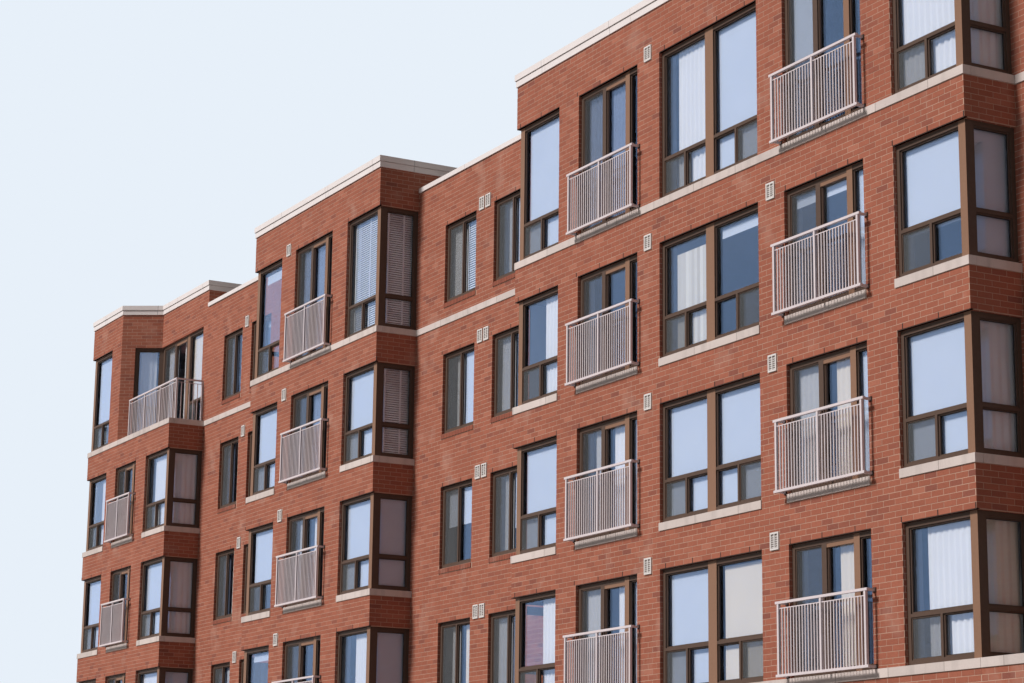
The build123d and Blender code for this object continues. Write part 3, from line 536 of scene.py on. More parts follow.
# %% [markdown]
# ## Folded sheet of the coping
# The coping is painted metal folded over the top of the wall, with a fine seam every eight feet. It is a
# little glossy and weathers in streaks, so the gloss follows the same cloud as the colour.
# %% Coping sheet
SHEET_LONG = 2.44
sheet_metal = Finish("coping_sheet", Specular_IOR_Level=0.2)
x, y = sheet_metal.parts(sheet_metal.spot())[:2]
nx = sheet_metal.facing()[0]
along = x * (abs(nx) < 0.5) + y * (abs(nx) > 0.5)
seam = abs((along + 0.55) / SHEET_LONG % 1.0 - 0.5) < 0.0022
wear = sheet_metal.noise(2.6, 4.0, (1, 1, 4))
tone = sheet_metal.mix(wear, (0.800, 0.710, 0.675), (0.690, 0.605, 0.575))
tone = sheet_metal.shade(tone, sheet_metal.noise(26.0, 3.0), 0.10)
sheet_metal.feed(Base_Color=sheet_metal.mix(seam, tone, (0.30, 0.27, 0.26)), Roughness=wear * 0.2 + 0.34)
sheet_metal.bump(wear - seam, 0.004, 0.35)
print("coping nodes:", len(sheet_metal.tree.nodes))

# %% [markdown]
# ## Paint and anodising
# The frames are brown coated aluminium, the railings and louvres pale enamel, the lintels rusty steel. They
# differ only in two close colours, how rough they are and how much they shine, so one function paints them.
# %% Brown frames, pale rails and louvres, dark rubber


def enamel(name, light, dark, rough, shine=0.2):
    """Two close colours clouded together, and a gloss that follows the cloud."""
    finish = Finish(name, Specular_IOR_Level=shine)
    cloud = finish.noise(24.0, 3.0)
    wash = finish.noise(1.7, 3.0, (1, 1, 0.4))
    finish.feed(Base_Color=finish.shade(finish.mix(cloud, light, dark), wash, 0.16),
                Roughness=cloud * 0.12 + rough)
    finish.bump(cloud, 0.001, 0.25)
    return finish.material


# The lighter brown goes only on front faces that the key lamp lights, so it partly paints light; the darker
# sash brown of the sides partly paints their shade.
bronze = enamel("brown_aluminium", (0.270, 0.146, 0.092), (0.225, 0.120, 0.075), 0.46, MATT)
dark_bronze = enamel("brown_sash", (0.108, 0.066, 0.048), (0.084, 0.050, 0.036), 0.50, MATT)
rail_paint = enamel("rail_enamel", (0.710, 0.605, 0.605), (0.620, 0.525, 0.520), 0.40)
vent_paint = enamel("louvre_enamel", (0.740, 0.675, 0.635), (0.640, 0.575, 0.540), 0.45)
slot_dark = enamel("louvre_shadow", (0.440, 0.380, 0.350), (0.350, 0.300, 0.275), 0.7)
# The near black of this steel also paints the shade under each head and the shadow round each railing
# bracket.
steel_and_shade = enamel("lintel_steel", (0.060, 0.030, 0.022), (0.040, 0.020, 0.015), 0.6, MATT)
# The same black marks the open weep joints, as painted shade of their holes.
rubber_and_hole_shade = enamel("glazing_rubber", (0.022, 0.019, 0.018), (0.014, 0.012, 0.012), 0.6, MATT)
print("paints ready")

# %% [markdown]
# ## Roofs and floors
# Flat roofs of such blocks are covered with grey gravel, which cells of a Voronoi pattern draw stone by
# stone. The floors show only through the panes, as plain plaster with fine pores.
# %% Gravel and plaster
roofing = Finish("roof_gravel", Roughness=0.95, Specular_IOR_Level=MATT)
pebbles = roofing.node("ShaderNodeTexVoronoi", {}, {"Vector": roofing.spot(), "Scale": 30.0})
tone = roofing.mix(pebbles, (0.40, 0.38, 0.355), (0.22, 0.21, 0.20))
roofing.feed(Base_Color=roofing.shade(tone, roofing.noise(0.6, 4.0), 0.35))
roofing.bump(pebbles, 0.02, 0.6)
slab = Finish("floor_plaster", Roughness=0.9, Specular_IOR_Level=MATT)
pores = slab.noise(12.0, 4.0)
tone = slab.mix(pores, (0.46, 0.45, 0.43), (0.38, 0.37, 0.355))
slab.feed(Base_Color=slab.shade(tone, slab.noise(0.8), 0.2))
slab.bump(pores, 0.003, 0.4)
print("roof nodes:", len(roofing.tree.nodes))

# %% [markdown]
# ## Glass and what is seen in it
# A pane mirrors more the flatter it is looked at, and lets the rest of the light straight through. A mirror
# whose alpha follows the fifth power of the glancing angle does this with no bending of rays, so the blinds
# behind stay bright and the picture stays clean. An insect screen is a grey veil over one half of each
# sliding pair, since its threads are too fine to draw.
# %% Panes and insect screens
# The mirror is tinted blue, a painted reflection of a blue sky that the pale backdrop doesn't give.
glass = Finish("window_pane", Roughness=0.02, Metallic=1.0, Base_Color=(0.43, 0.63, 1.0, 1))
glancing = glass.node("ShaderNodeLayerWeight", {}, {"Blend": 0.5}, "Facing")
squared = glancing * glancing
ripple = glass.noise(1.4, 2.0)
glass.feed(Alpha=(squared * squared * glancing * 0.85 + ripple * 0.03 + 0.105).least(1.0))
glass.bump(ripple, 0.004, 0.12)


def gauze(name, cover):
    """A thin grey veil that covers a share of the view."""
    finish = Finish(name, Roughness=0.8, Alpha=cover, Specular_IOR_Level=MATT)
    finish.feed(Base_Color=finish.mix(finish.noise(2.2, 3.0), (0.170, 0.172, 0.176), (0.125, 0.127, 0.130)))
    return finish.material


screen, door_screen = gauze("screen_mesh", 0.24), gauze("door_mesh", 0.13)
print("glass nodes:", len(glass.tree.nodes))

# %% [markdown]
# ## Give the model's own nodes their finish
# The model's shapes are right, so they stay and only their material slots are filled. What a node is made of
# shows in its name, so the names are sorted by their ends and beginnings.
# %% Dress the nodes


def dress(finish, ends=(), starts=(), names=()):
    """Puts a finish in the material slots of the nodes whose name ends, starts or reads so."""
    for name in nodes:
        if name.endswith(tuple(ends)) or name.startswith(tuple(starts)) or name in names:
            mesh = nodes[name].data
            mesh.materials.clear()
            mesh.materials.append(finish)


dress(masonry.material, ends=("_wall", "_walls"))
dress(sheet_metal.material, ends=("_coping", "_copings"))
dress(stone.material, names=("top_band", "first_floor_band", "window_sills"))
dress(dark_bronze, starts=("window_frames",))
dress(glass.material, starts=("window_glass",))
dress(rail_paint, ends=("_railings", "_railing"))
dress(roofing.material, ends=("_roofs",))
dress(slab.material, starts=("floor_",), names=("ground_slab",))
print("dressed", sum(1 for n in nodes if nodes[n].data.materials))

# %% [markdown]
# ## Places where no brick is laid
# Openings, stones, louvres and the brick sills on edge all interrupt the bond. Each is a rectangle on the
# wall's ruler, and a course that meets one is cut round it. A little mortar stays round stones and louvres.
# %% Rectangles that interrupt the bond
VENT_W, LINK_VENT_W, VENT_H, VENT_OUT, VENT_RISE = 0.220, 0.205, 0.270, 0.024, 0.098
ROWLOCK, EDGE_LAP, EDGE_BED = 0.100, 0.035, 0.012
STONE_GAP, VENT_GAP = 0.006, 0.010
VENTS = {"middle_front": [(1.9975, VENT_W)], "main_front": [(4.6775, VENT_W), (8.2825, VENT_W)],
         "left_link": [(2.675, LINK_VENT_W)], "right_link": [(2.8675, LINK_VENT_W), (3.1325, LINK_VENT_W)]}


def vent_middle(name, k):
    """Height of the middle of a louvre."""
    return head_of(k, name in LINKS) + VENT_RISE


def stones(wall, k):
    """Where stone lies at floor k: a band on floors 1 and 4, sills under openings elsewhere."""
    if k in (1, TOP):
        return [(-1, BEHIND)]
    found = [(a - STONE_LAP, b + STONE_LAP) for a, b, kind in spans(wall.name, k) if kind != "link"]
    if wall.name in GLAZED_RETURNS:
        found.append((-1, BEHIND) if wall.name != "left_end" else (SIDE, BEHIND))
    return found


def interruptions(wall):
    """All rectangles without bricks on a wall, as (start, end, bottom, top)."""
    cuts = list(wall.blanks)
    for k, level in enumerate(LEVELS):
        for a, b, kind in spans(wall.name, k):
            low, high = heights(kind, k)
            cuts.append((a, b, low, high))
            if kind == "link":
                cuts.append((a - EDGE_LAP, b + EDGE_LAP, low - ROWLOCK - EDGE_BED, low))
        for a, b in stones(wall, k):
            cuts.append((a - STONE_GAP, b + STONE_GAP, level - STONE - STONE_GAP, level + STONE_GAP))
        if k in GLAZED_RETURNS.get(wall.name, ()):
            cuts.append((SIDE if wall.name == "left_end" else -1, BEHIND, level, head_of(k)))
        for u, width in VENTS.get(wall.name, ()):
            middle = vent_middle(wall.name, k)
            cuts.append((u - width / 2 - VENT_GAP, u + width / 2 + VENT_GAP,
                         middle - VENT_H / 2 - VENT_GAP, middle + VENT_H / 2 + VENT_GAP))
    if wall.name == "slant":
        cuts.append((SLANT_JAMB, BEHIND, L[TOP], L[TOP] + TERRACE_HEAD))
    if wall.name == "terrace_back":
        cuts.append((-1, TERRACE_GLAZED, L[TOP], L[TOP] + TERRACE_HEAD))
    return cuts


print("cuts on the main front:", len(interruptions(WALLS["main_front"])))

# %% [markdown]
# ## Laying the bricks
# In a running bond each course is a comb of equal bricks, pushed half a brick along on every other course.
# A course first falls into stretches that the cuts leave, each with its own bottom and top, and each stretch
# then keeps the part of the comb that lies in it. Slivers that no bricklayer would set are left out.
# %% Courses cut round the openings
SLIVER_LONG, SLIVER_TALL = 0.018, 0.014


def stretches(wall, cuts, low, high):
    """What the cuts leave of one course, as (start, end, bottom, top)."""
    left = [(-wall.laps[0], wall.length + wall.laps[1], low, high)]
    for a, b, foot, head in cuts:
        if foot >= high or head <= low:
            continue
        kept = []
        for u0, u1, z0, z1 in left:
            if b <= u0 or a >= u1 or foot >= z1 or head <= z0:
                kept.append((u0, u1, z0, z1))
                continue
            kept += [(u0, a, z0, z1)] if a > u0 else []
            kept += [(b, u1, z0, z1)] if b < u1 else []
            s, e = max(u0, a), min(u1, b)
            kept += [(s, e, z0, foot)] if foot > z0 else []
            kept += [(s, e, head, z1)] if head < z1 else []
        left = kept
    return [s for s in left if s[1] - s[0] > SLIVER_LONG and s[3] - s[2] > SLIVER_TALL]


def comb(wall, i):
    """Where the bricks of course i start: (n - half a step on odd courses) * bond."""
    return (np.arange(-1, wall.length // BOND + 2) - 0.5 * ((i + wall.parity) % 2)) * BOND


def lay(heap, wall):
    """All bricks of one wall: a brick runs from its start to start + length, cut to its stretch."""
    cuts = interruptions(wall)
    low, high = [], []
    for i in range(int((wall.low - PHASE) // COURSE), int((wall.high - PHASE) // COURSE) + 1):
        z0 = max(PHASE + i * COURSE, wall.low)
        z1 = min(PHASE + i * COURSE + BRICK_TALL, wall.high)
        starts = comb(wall, i)
        for u0, u1, bottom, top in stretches(wall, cuts, z0, z1):
            start, end = np.maximum(starts, u0), np.minimum(starts + BRICK_LONG, u1)
            keep = end - start > SLIVER_LONG
            low.append(rows(start[keep], -PROUD, bottom))
            high.append(rows(end[keep], SUNK, top))
    low, high = np.concatenate(low), np.concatenate(high)
    low[:, 1] -= rng.uniform(-0.0015, 0.0010, len(low))
    heap.boxes(wall, low, high, rng.random(len(low)))
    return len(low)


print("slivers left out: under", SLIVER_LONG, "m long or", SLIVER_TALL, "m high")

# %% [markdown]
# ## One piece of brickwork for each part of the block
# No piece holds more than ten thousand bricks, which is still easy to carry, as one mesh of the whole block
# would not be. The back is the longest wall, so it is laid in two halves.
# %% Lay all walls
BRICKWORK = {
    "left_bay": ("left_front", "slant", "terrace_back", "left_return"), "left_link": ("left_link",),
    "middle_bay": ("middle_near", "middle_front", "middle_far"), "right_link": ("right_link",),
    "main_bay": ("main_near", "main_front", "main_far"), "end_link": ("end_front", "end_ground"),
    "left_end": ("left_end",), "raised_sides": RAISED}
laid = 0
for name, walls in BRICKWORK.items():
    heap = Heap()
    laid += sum(lay(heap, WALLS[w]) for w in walls)
    make_piece(f"bricks_{name}", heap, brick.material)
for part, u0, u1 in (("right", -1, LENGTH / 2), ("left", LENGTH / 2, BEHIND)):
    half = Wall("back", LENGTH, DEPTH, 180, LENGTH, 0, HIGH_TOP, (0, P), 0,
                BACK_LINKS + [(-1, u0, -1, BEHIND), (u1, BEHIND, -1, BEHIND)])
    heap = Heap()
    laid += lay(heap, half)
    make_piece(f"bricks_back_{part}", heap, brick.material)
print("bricks laid:", laid)

# %% [markdown]
# ## Bricks on edge and weep joints
# Under each window of the links a row of bricks stands on edge as a sill, tipped outward to shed rain. Over
# each head a steel angle carries the bricks, and its edge is the thin dark line under them, drawn near black
# so that it also paints the shade under the head. A few upright joints above it are left open so that water
# can
# drain: their holes are short near-black ticks laid over the brick face, as painted shade of the open joints.
# %% Sills of bricks on edge, lintel edges and open joints
EDGE_PITCH, EDGE_W, EDGE_OUT, EDGE_IN, EDGE_UP = 0.067, 0.057, 0.020, 0.055, 0.006
WEEP_LEFT, WEEP_RIGHT, WEEP_OUT = 0.003, 0.013, 0.0045
LINTEL_IN = 0.050
sills, weep_shade, lintels = Heap(), Heap(), Heap()


def tipped(corners):
    """Drops the outer top edge: z falls by a seventh of the way out."""
    top = corners[:, 4:, :]
    top[:, :, 2] -= (0.09 - top[:, :, 1]) / 7
    return corners


for wall in WALLS.values():
    for k in range(TOP + 1):
        for a, b, kind in spans(wall.name, k):
            low, head = heights(kind, k)
            if kind == "link":
                n = int((b - a + 0.06) // EDGE_PITCH)
                start = (a + b - n * EDGE_PITCH + MORTAR) / 2 + EDGE_PITCH * np.arange(n)
                sills.boxes(wall, rows(start, -EDGE_OUT, low - ROWLOCK),
                            rows(start + EDGE_W, EDGE_IN, low + EDGE_UP), rng.random(n) * 0.16, tipped)
            i = math.ceil((head - PHASE) / COURSE - 0.1)
            ticks = comb(wall, i) - MORTAR
            ticks = ticks[(ticks > a - 0.10) & (ticks < b + 0.05)][::3]
            z0 = PHASE + i * COURSE
            weep_shade.boxes(wall, rows(ticks - WEEP_LEFT, -WEEP_OUT, z0),
                        rows(ticks + WEEP_RIGHT, HAIR, z0 + BRICK_TALL))
            if z0 - head > HAIR:
                lintels.boxes(wall, (a, -HAIR, head), (b, LINTEL_IN, z0))
make_piece("brick_sills", sills, brick.material)
make_piece("weep_joints", weep_shade, rubber_and_hole_shade)
make_piece("steel_lintels", lintels, steel_and_shade)

# %% [markdown]
# ## The panes of each window and door
# Every pane has its own bead and gasket, so the panes are worked out first, by the same sums that cut the
# frames. A corner window has one tall pane over two low sliding ones, and a paired window has that twice. A
# door has two leaves and a sidelight, which the terrace door lacks. A window of the links is a sliding pair.
# %% Panes of each kind of unit
SETBACK, FRAME_T = 0.058, 0.060
BAR, SASH, TRANSOM = 0.073, 0.050, 0.690
POST_FRONT, POST_SIDE, PAIR_MULLION = 0.150, 0.150, 0.240
DOOR_MULLION, LEAF_STILE, SIDELIGHT, LEFT_SIDELIGHT = 0.140, 0.118, 0.345, 0.250


def side_by_side(a, b, stile, foot, head, uses):
    """Two panes with a stile between them."""
    m = (a + b) / 2
    return [(a, m - stile / 2, foot, head, uses[0]), (m + stile / 2, b, foot, head, uses[1])]


def light_over_two(a, b, foot, head):
    """A fixed pane over two low lights, named for what each one is."""
    return ([(a, b, TRANSOM + SASH / 2, head, "fixed")]
            + side_by_side(a, b, SASH, foot, TRANSOM - SASH / 2, ("low_left", "low_right")))


def panes(kind, width, height):
    """Panes of a unit as u0, u1, z0, z1 and use, from its lower left corner."""
    left, right, foot, head = BAR, width - BAR, BAR, height - BAR
    leaves = ("leaf_near", "leaf")
    if kind == "corner_left":
        return light_over_two(POST_FRONT, right, foot, head)
    if kind == "corner_right":
        return light_over_two(left, width - POST_FRONT, foot, head)
    if kind in ("return_left", "return_right"):
        post = POST_SIDE - FRAME_T
        a, b = (left, width - post) if kind == "return_left" else (post, right)
        return [(a, b, TRANSOM + SASH / 2, head, "fixed"), (a, b, foot, TRANSOM - SASH / 2, "fixed")]
    if kind == "pair":
        m = width / 2
        far = light_over_two(m + PAIR_MULLION / 2, right, foot, head)
        return light_over_two(left, m - PAIR_MULLION / 2, foot, head) + [(*p[:4], p[4] + "_far") for p in far]
    if kind in ("door", "left_door"):
        side = SIDELIGHT if kind == "door" else LEFT_SIDELIGHT
        return (side_by_side(left, width - side - DOOR_MULLION, LEAF_STILE, foot, head, leaves)
                + [(width - side, right, foot, head, "fixed")])
    if kind == "terrace_door":
        return [(left, width / 2 - LEAF_STILE / 2, foot, head, leaves[0]),
                (width / 2 + LEAF_STILE / 2, right, foot, head, leaves[1])]
    if kind == "slant":
        return [(left, right, foot, head, "fixed")]
    if kind == "link":
        return [(left, width / 2 - SASH / 2, foot, head, "low_left"),
                (width / 2 + SASH / 2, right, foot, head, "low_right")]
    return light_over_two(left, right, foot, head)


print("panes of a door:", len(panes("door", 2.01, HEAD)))

# %% [markdown]
# ## Every window and door of a storey
# A frame stands a little behind the brick face. A window that wraps a corner keeps that set-back from the
# corner on the front, and on the side the frame's own depth as well. Listing all units of a storey once lets
# beads and blinds visit them in the same order.
# %% Units of a storey
TERRACE_DOOR, TERRACE_MULLION = 1.770, 0.140
PANE_FACE = SETBACK + FRAME_T


def units(k):
    """Every window and door unit of storey k as wall, start, end, foot, head, kind."""
    found = []
    for name, wall in WALLS.items():
        for a, b, kind in spans(name, k):
            start, end = a + SETBACK * (kind == "corner_left"), b - SETBACK * (kind == "corner_right")
            found.append((wall, start, end, *heights(kind, k), kind))
    for name, storeys in GLAZED_RETURNS.items():
        if k in storeys:
            side = "return_left" if name in ("left_end", "middle_near", "main_near") else "return_right"
            a, b = (0.0, RECESS - SETBACK - FRAME_T) if side == "return_left" else (PANE_FACE, RECESS)
            shift = SIDE if name == "left_end" else 0.0
            found.append((WALLS[name], a + shift, b + shift, LEVELS[k], head_of(k), side))
    if k == TOP:
        foot, head, back = L[TOP], L[TOP] + TERRACE_HEAD, WALLS["terrace_back"]
        found += [(WALLS["slant"], SLANT_JAMB, SLANT, foot, head, "slant"),
                  (back, 0.0, TERRACE_DOOR, foot, head, "terrace_door"),
                  (back, TERRACE_DOOR + TERRACE_MULLION, TERRACE_GLAZED, foot, head, "single")]
    return found


print("units a storey:", [len(units(k)) for k in range(TOP + 1)])

# %% [markdown]
# ## The frames' inner steps
# A real window frame is not one plank. Seen from the side it steps back twice before it reaches the glass: a
# glazing bead behind the outer bar, then a rubber gasket against the pane. Rings of four bars draw both. One
# half of each sliding pair has an insect screen in an edge of its own, a door leaf has a stile, the far leaf
# has a pull, and the wide posts and mullions have a lighter cover on their face. That lighter brown, also on
# a door's head track, lies only on faces that the key lamp lights, so it is partly painted light.
# %% Beads, gaskets, screens and door pulls
BEAD, GASKET, SCREEN_FRAME, LEAF_FRAME, CAP = 0.022, 0.007, 0.020, 0.030, 0.003
TRACK_FOOT, TRACK_TOP, TRACK_IN = 0.130, 0.070, SETBACK + 0.004
BEAD_IN, GASKET_IN, LEAF_IN = SETBACK + 0.024, PANE_FACE - 0.012, SETBACK + 0.034
SCREEN_IN, SCREEN_BACK, MESH_IN, MESH_BACK = [SETBACK + step for step in (0.014, 0.030, 0.021, 0.023)]
TUCK = 0.01
PULL_Z, PULL_TALL, PULL_FAR, PULL_NEAR = 0.95, 0.24, 0.050, 0.025
PULL_OUT, PULL_IN = SETBACK - 0.030, SETBACK + 0.002
SCREENED = {"low_left", "low_right_far", "leaf_near"}
TRIM = {"glazing_beads": dark_bronze, "mullion_caps": bronze, "gaskets": rubber_and_hole_shade,
        "screen_edges": dark_bronze, "insect_screens": screen, "door_screens": door_screen}


def wide_bars(kind, a, b):
    """The wide posts and mullions of a unit, as spans along the wall."""
    if kind == "pair":
        return [((a + b - PAIR_MULLION) / 2, (a + b + PAIR_MULLION) / 2)]
    if kind in ("door", "left_door"):
        end = b - (SIDELIGHT if kind == "door" else LEFT_SIDELIGHT)
        return [(end - DOOR_MULLION, end)]
    return {"corner_left": [(a, a + POST_FRONT)], "corner_right": [(b - POST_FRONT, b)],
            "terrace_door": [(b, b + TERRACE_MULLION)]}.get(kind, [])


for k in range(TOP + 1):
    heaps = [Heap() for _ in TRIM]
    beads, wide, gaskets, edges, meshes, door_meshes = heaps
    for wall, a, b, foot, head, kind in units(k):
        for u0, u1 in wide_bars(kind, a, b):
            wide.boxes(wall, (u0, SETBACK - CAP, foot), (u1, SETBACK + CAP, head))
        if kind in ("door", "left_door", "terrace_door"):
            end = b if kind == "terrace_door" else wide_bars(kind, a, b)[0][0]
            wide.boxes(wall, ((a + end) / 2, TRACK_IN, head - TRACK_FOOT), (end, PANE_FACE, head - TRACK_TOP))
        for u0, u1, z0, z1, use in panes(kind, b - a, head - foot):
            u0, u1, z0, z1 = a + u0, a + u1, foot + z0, foot + z1
            beads.rings(wall, u0, u1, z0, z1, BEAD_IN, PANE_FACE, BEAD)
            gaskets.rings(wall, u0 + BEAD, u1 - BEAD, z0 + BEAD, z1 - BEAD, GASKET_IN, PANE_FACE, GASKET)
            if use in SCREENED:
                edges.rings(wall, u0, u1, z0, z1, SCREEN_IN, SCREEN_BACK, SCREEN_FRAME)
                mesh = door_meshes if use == "leaf_near" else meshes
                mesh.boxes(wall, (u0 + TUCK, MESH_IN, z0 + TUCK), (u1 - TUCK, MESH_BACK, z1 - TUCK))
            if use.startswith("leaf"):
                edges.rings(wall, u0, u1, z0, z1, LEAF_IN, PANE_FACE, LEAF_FRAME)
            if use == "leaf":
                pull = foot + PULL_Z
                beads.boxes(wall, (u0 - PULL_FAR, PULL_OUT, pull),
                            (u0 - PULL_NEAR, PULL_IN, pull + PULL_TALL))
    for (name, finish), heap in zip(TRIM.items(), heaps):
        make_piece(f"{name}_{k}", heap, finish)

# %% [markdown]
# ## Cloth and slats of the windows
# Nearly every window of a lived-in block is dressed, and from the street that is most of what a window
# shows: a pale roller shade, a gathered sheer, upright or level slats. Woven cloth has fine threads both ways
# over a soft cloud, and painted slats differ a little from one to the next.
# %% Cloth and slat finishes


def cloth(name, light, dark, threads, alpha=1.0):
    """Woven cloth: fine upright and level threads over a soft cloud."""
    finish = Finish(name, Roughness=0.92, Alpha=alpha, Specular_IOR_Level=MATT)
    x, y, z = finish.parts(finish.spot())
    weave = (((x + y) * threads) % 1.0 + (z * threads) % 1.0) * 0.5
    tone = finish.mix(finish.noise(1.5, 2.0), light, dark)
    finish.feed(Base_Color=finish.shade(tone, weave, 0.06))
    finish.bump(weave, 0.0005, 0.2)
    return finish.material


def slats(name, light, dark):
    """Painted slats, each its own shade between two close colours."""
    finish = Finish(name, Roughness=0.55, Specular_IOR_Level=0.2)
    tone = finish.mix(finish.tone(), light, dark)
    finish.feed(Base_Color=finish.shade(tone, finish.noise(6.0, 2.0), 0.08))
    finish.bump(finish.noise(40.0, 2.0), 0.0005, 0.2)
    return finish.material


shade_cloth = cloth("roller_cloth", (0.625, 0.655, 0.715), (0.570, 0.605, 0.670), 700.0)
cream_cloth = cloth("cream_cloth", (0.800, 0.690, 0.550), (0.720, 0.615, 0.490), 600.0)
# A dark blue gathered sheet paints shade and reflection: it stands behind panes that should show a dark room
# and the blue sky.
dusk_cloth = cloth("dusk_cloth", (0.200, 0.225, 0.300), (0.130, 0.150, 0.210), 900.0)
sheer_cloth = cloth("sheer_cloth", (0.900, 0.865, 0.840), (0.790, 0.760, 0.740), 900.0, 0.95)
white_slats = slats("white_slats", (0.800, 0.790, 0.780), (0.560, 0.540, 0.520))
cream_slats = slats("cream_slats", (0.800, 0.740, 0.640), (0.560, 0.500, 0.420))
print("cloths and slats ready")

# %% [markdown]
# ## Each family of hanging is one formula
# A roller shade is a grid that bows by a few millimetres. A curtain is the same grid with a sine running
# across it, deeper towards the hem, which is what gathering on a rail does to cloth. A curtain's area is
# counted a quarter wider than what it covers, which is more than these shallow waves take up.
# %% Hanging cloth as surfaces
SHADE_IN, SHADE_BOW = 0.160, 0.004
CURTAIN_IN, SWING, FOLD, FULLNESS = 0.182, 0.011, 0.13, 1.25


def surface(shape, across, down):
    """Points and faces of a grid: shape takes s across and t down, both from 0 to 1."""
    s, t = np.meshgrid(np.linspace(0, 1, across + 1), np.linspace(0, 1, down + 1))
    points = np.stack(shape(s.ravel(), t.ravel()), 1)
    i = (np.arange(across)[None] + (across + 1) * np.arange(down)[:, None]).ravel()
    return points, np.stack([i, i + across + 1, i + across + 2, i + 1], 1)


def roller(heap, wall, a, b, low, high):
    """A flat shade: v = depth + bow * sin(pi * t). Gives its area."""
    points, faces = surface(lambda s, t: (a + (b - a) * s, SHADE_IN + SHADE_BOW * np.sin(np.pi * t),
                                          high - (high - low) * t), 4, 6)
    heap.add(wall.place(points), faces, np.full(len(points), 0.5))
    return (b - a) * (high - low)


def gathered(heap, wall, a, b, low, high):
    """Gathered cloth: v swings as a sine of the way across, deeper towards the hem. Gives its flat area."""
    folds = max(3, round((b - a) / FOLD))
    first = rng.uniform(0, 2 * np.pi)

    def shape(s, t):
        """v = depth + swing * sine of the way across * (0.55 at the rail, 1 at the hem)."""
        wave = np.sin(2 * np.pi * folds * s + first + 0.5 * np.sin(3 * s + 2 * t))
        return a + (b - a) * s, CURTAIN_IN + SWING * wave * (0.55 + 0.45 * t), high - (high - low) * t

    points, faces = surface(shape, folds * 8, 5)
    heap.add(wall.place(points), faces, np.full(len(points), 0.5))
    return (b - a) * (high - low) * FULLNESS


print("a fold is", FOLD, "m wide and", 2 * SWING, "m deep")

# %% [markdown]
# ## Slatted blinds
# A slat is a thin box, leaned by moving its corners: level slats have their outer edge low and hang on two
# wide tapes, upright ones are turned a little about their own middle.
# %% Slats as leaning boxes
SLAT_PITCH, SLAT_T, SLAT_DROP, SLAT_SLOPE = 0.048, 0.003, 0.03, 1.8
SLAT_OUT, SLAT_MIDDLE, SLAT_IN = 0.163, 0.172, 0.181
TAPES, TAPE_HALF, TAPE_OUT, TAPE_IN, TAPE_FOOT = np.array([0.06, 0.62]), 0.020, 0.157, 0.1585, 0.02
VANE_PITCH, VANE_W, VANE_OUT, VANE_IN, VANE_SLOPE = 0.085, 0.089, 0.170, 0.172, 0.10


def level_slats(heap, wall, a, b, low, high):
    """Level slats: z rises with v across every slat."""
    n = int((high - low) / SLAT_PITCH)
    z = high - SLAT_DROP - SLAT_PITCH * np.arange(n)

    def tip(corners):
        """z rises by the slope times how far v lies behind the slat's middle."""
        corners[:, :, 2] += (corners[:, :, 1] - SLAT_MIDDLE) * SLAT_SLOPE
        return corners

    heap.boxes(wall, rows(a, SLAT_OUT, z), rows(b, SLAT_IN, z + SLAT_T), np.full(n, 0.3), lean=tip)
    tapes = a + (b - a) * TAPES
    heap.boxes(wall, rows(tapes - TAPE_HALF, TAPE_OUT, low + TAPE_FOOT),
               rows(tapes + TAPE_HALF, TAPE_IN, high), np.zeros(2))


def upright_slats(heap, wall, a, b, low, high):
    """Upright slats: v follows u across every slat."""
    n = max(2, int((b - a) / VANE_PITCH))
    u = a + VANE_PITCH * np.arange(n)

    def turn(corners):
        """v grows by the slope times how far u lies past the slat's middle."""
        middle = corners[:, :, 0].mean(1, keepdims=True)
        corners[:, :, 1] += (corners[:, :, 0] - middle) * VANE_SLOPE
        return corners

    heap.boxes(wall, rows(u, VANE_OUT, low), rows(u + VANE_W, VANE_IN, high), rng.random(n), lean=turn)


print("slats every", SLAT_PITCH, "m")

# %% [markdown]
# ## What hangs in each window
# Each letter is a hanging: its family, where it starts and ends across the pane, and how far it stays below
# the head and above the foot, all as shares. Families: R shade, F cream shade, S sheer, C cream curtain, D
# dark blue sheet, which paints the shade of a dark room and the reflection of a blue sky, V upright slats, B
# level slats. A dot is a bare pane. The front follows what hangs there, row by row; the back and the hidden
# sides draw from the same families.
# %% The list of hangings
FORMS = {"R": ("R", 0.00, 1.00, 0.00, 0.00), "Q": ("R", 0.00, 1.00, 0.00, 0.30),
         "H": ("R", 0.00, 1.00, 0.00, 0.50), "T": ("R", 0.10, 1.00, 0.06, 0.86),
         "F": ("F", 0.10, 1.00, 0.05, 0.00), "G": ("F", 0.00, 0.70, 0.00, 0.26),
         "S": ("S", 0.00, 1.00, 0.00, 0.00), "L": ("S", 0.45, 1.00, 0.02, 0.00),
         "M": ("S", 0.24, 1.00, 0.01, 0.00), "C": ("C", 0.30, 1.00, 0.02, 0.00),
         "K": ("C", 0.00, 0.93, 0.00, 0.00), "D": ("D", 0.00, 1.00, 0.00, 0.00),
         "V": ("V", 0.20, 1.00, 0.12, 0.00), "B": ("B", 0.04, 1.00, 0.00, 0.00)}
USUAL = list("RRQSSMHTVBFC.L")
HANGINGS = {
    "main_front": {4: "R DD. MR HTT S", 3: "L ... VT TTR Q", 2: "R LMS RR SCR R", 1: "L SLS RF .C. M",
                   0: "S .SR SR .LR S"},
    "middle_front": {4: "T DD. B", 3: "R .D. R", 2: "Q LL. R", 1: "T ... L", 0: "S .SR R"},
    "left_front": {4: "Q", 3: "L ... M", 2: "R ... R", 1: "R .SR S", 0: "R .SR S"},
    "right_link": {4: "SB LR", 3: "LR SC", 2: "HH LQ", 1: "LC SS", 0: "SR RR"},
    "left_link": {4: "DL DT", 3: "DC DR", 2: "DM DR", 1: "DR DH", 0: "DR DR"},
    "middle_far": {4: "B", 3: "B", 2: "R", 1: "R", 0: "S"}, "main_far": {4: "S", 3: "R", 2: "S", 1: "K"},
    "left_return": {3: "S", 2: "S", 1: "R", 0: "R"}, "slant": {4: "S"}, "terrace_back": {4: "SL G"}}


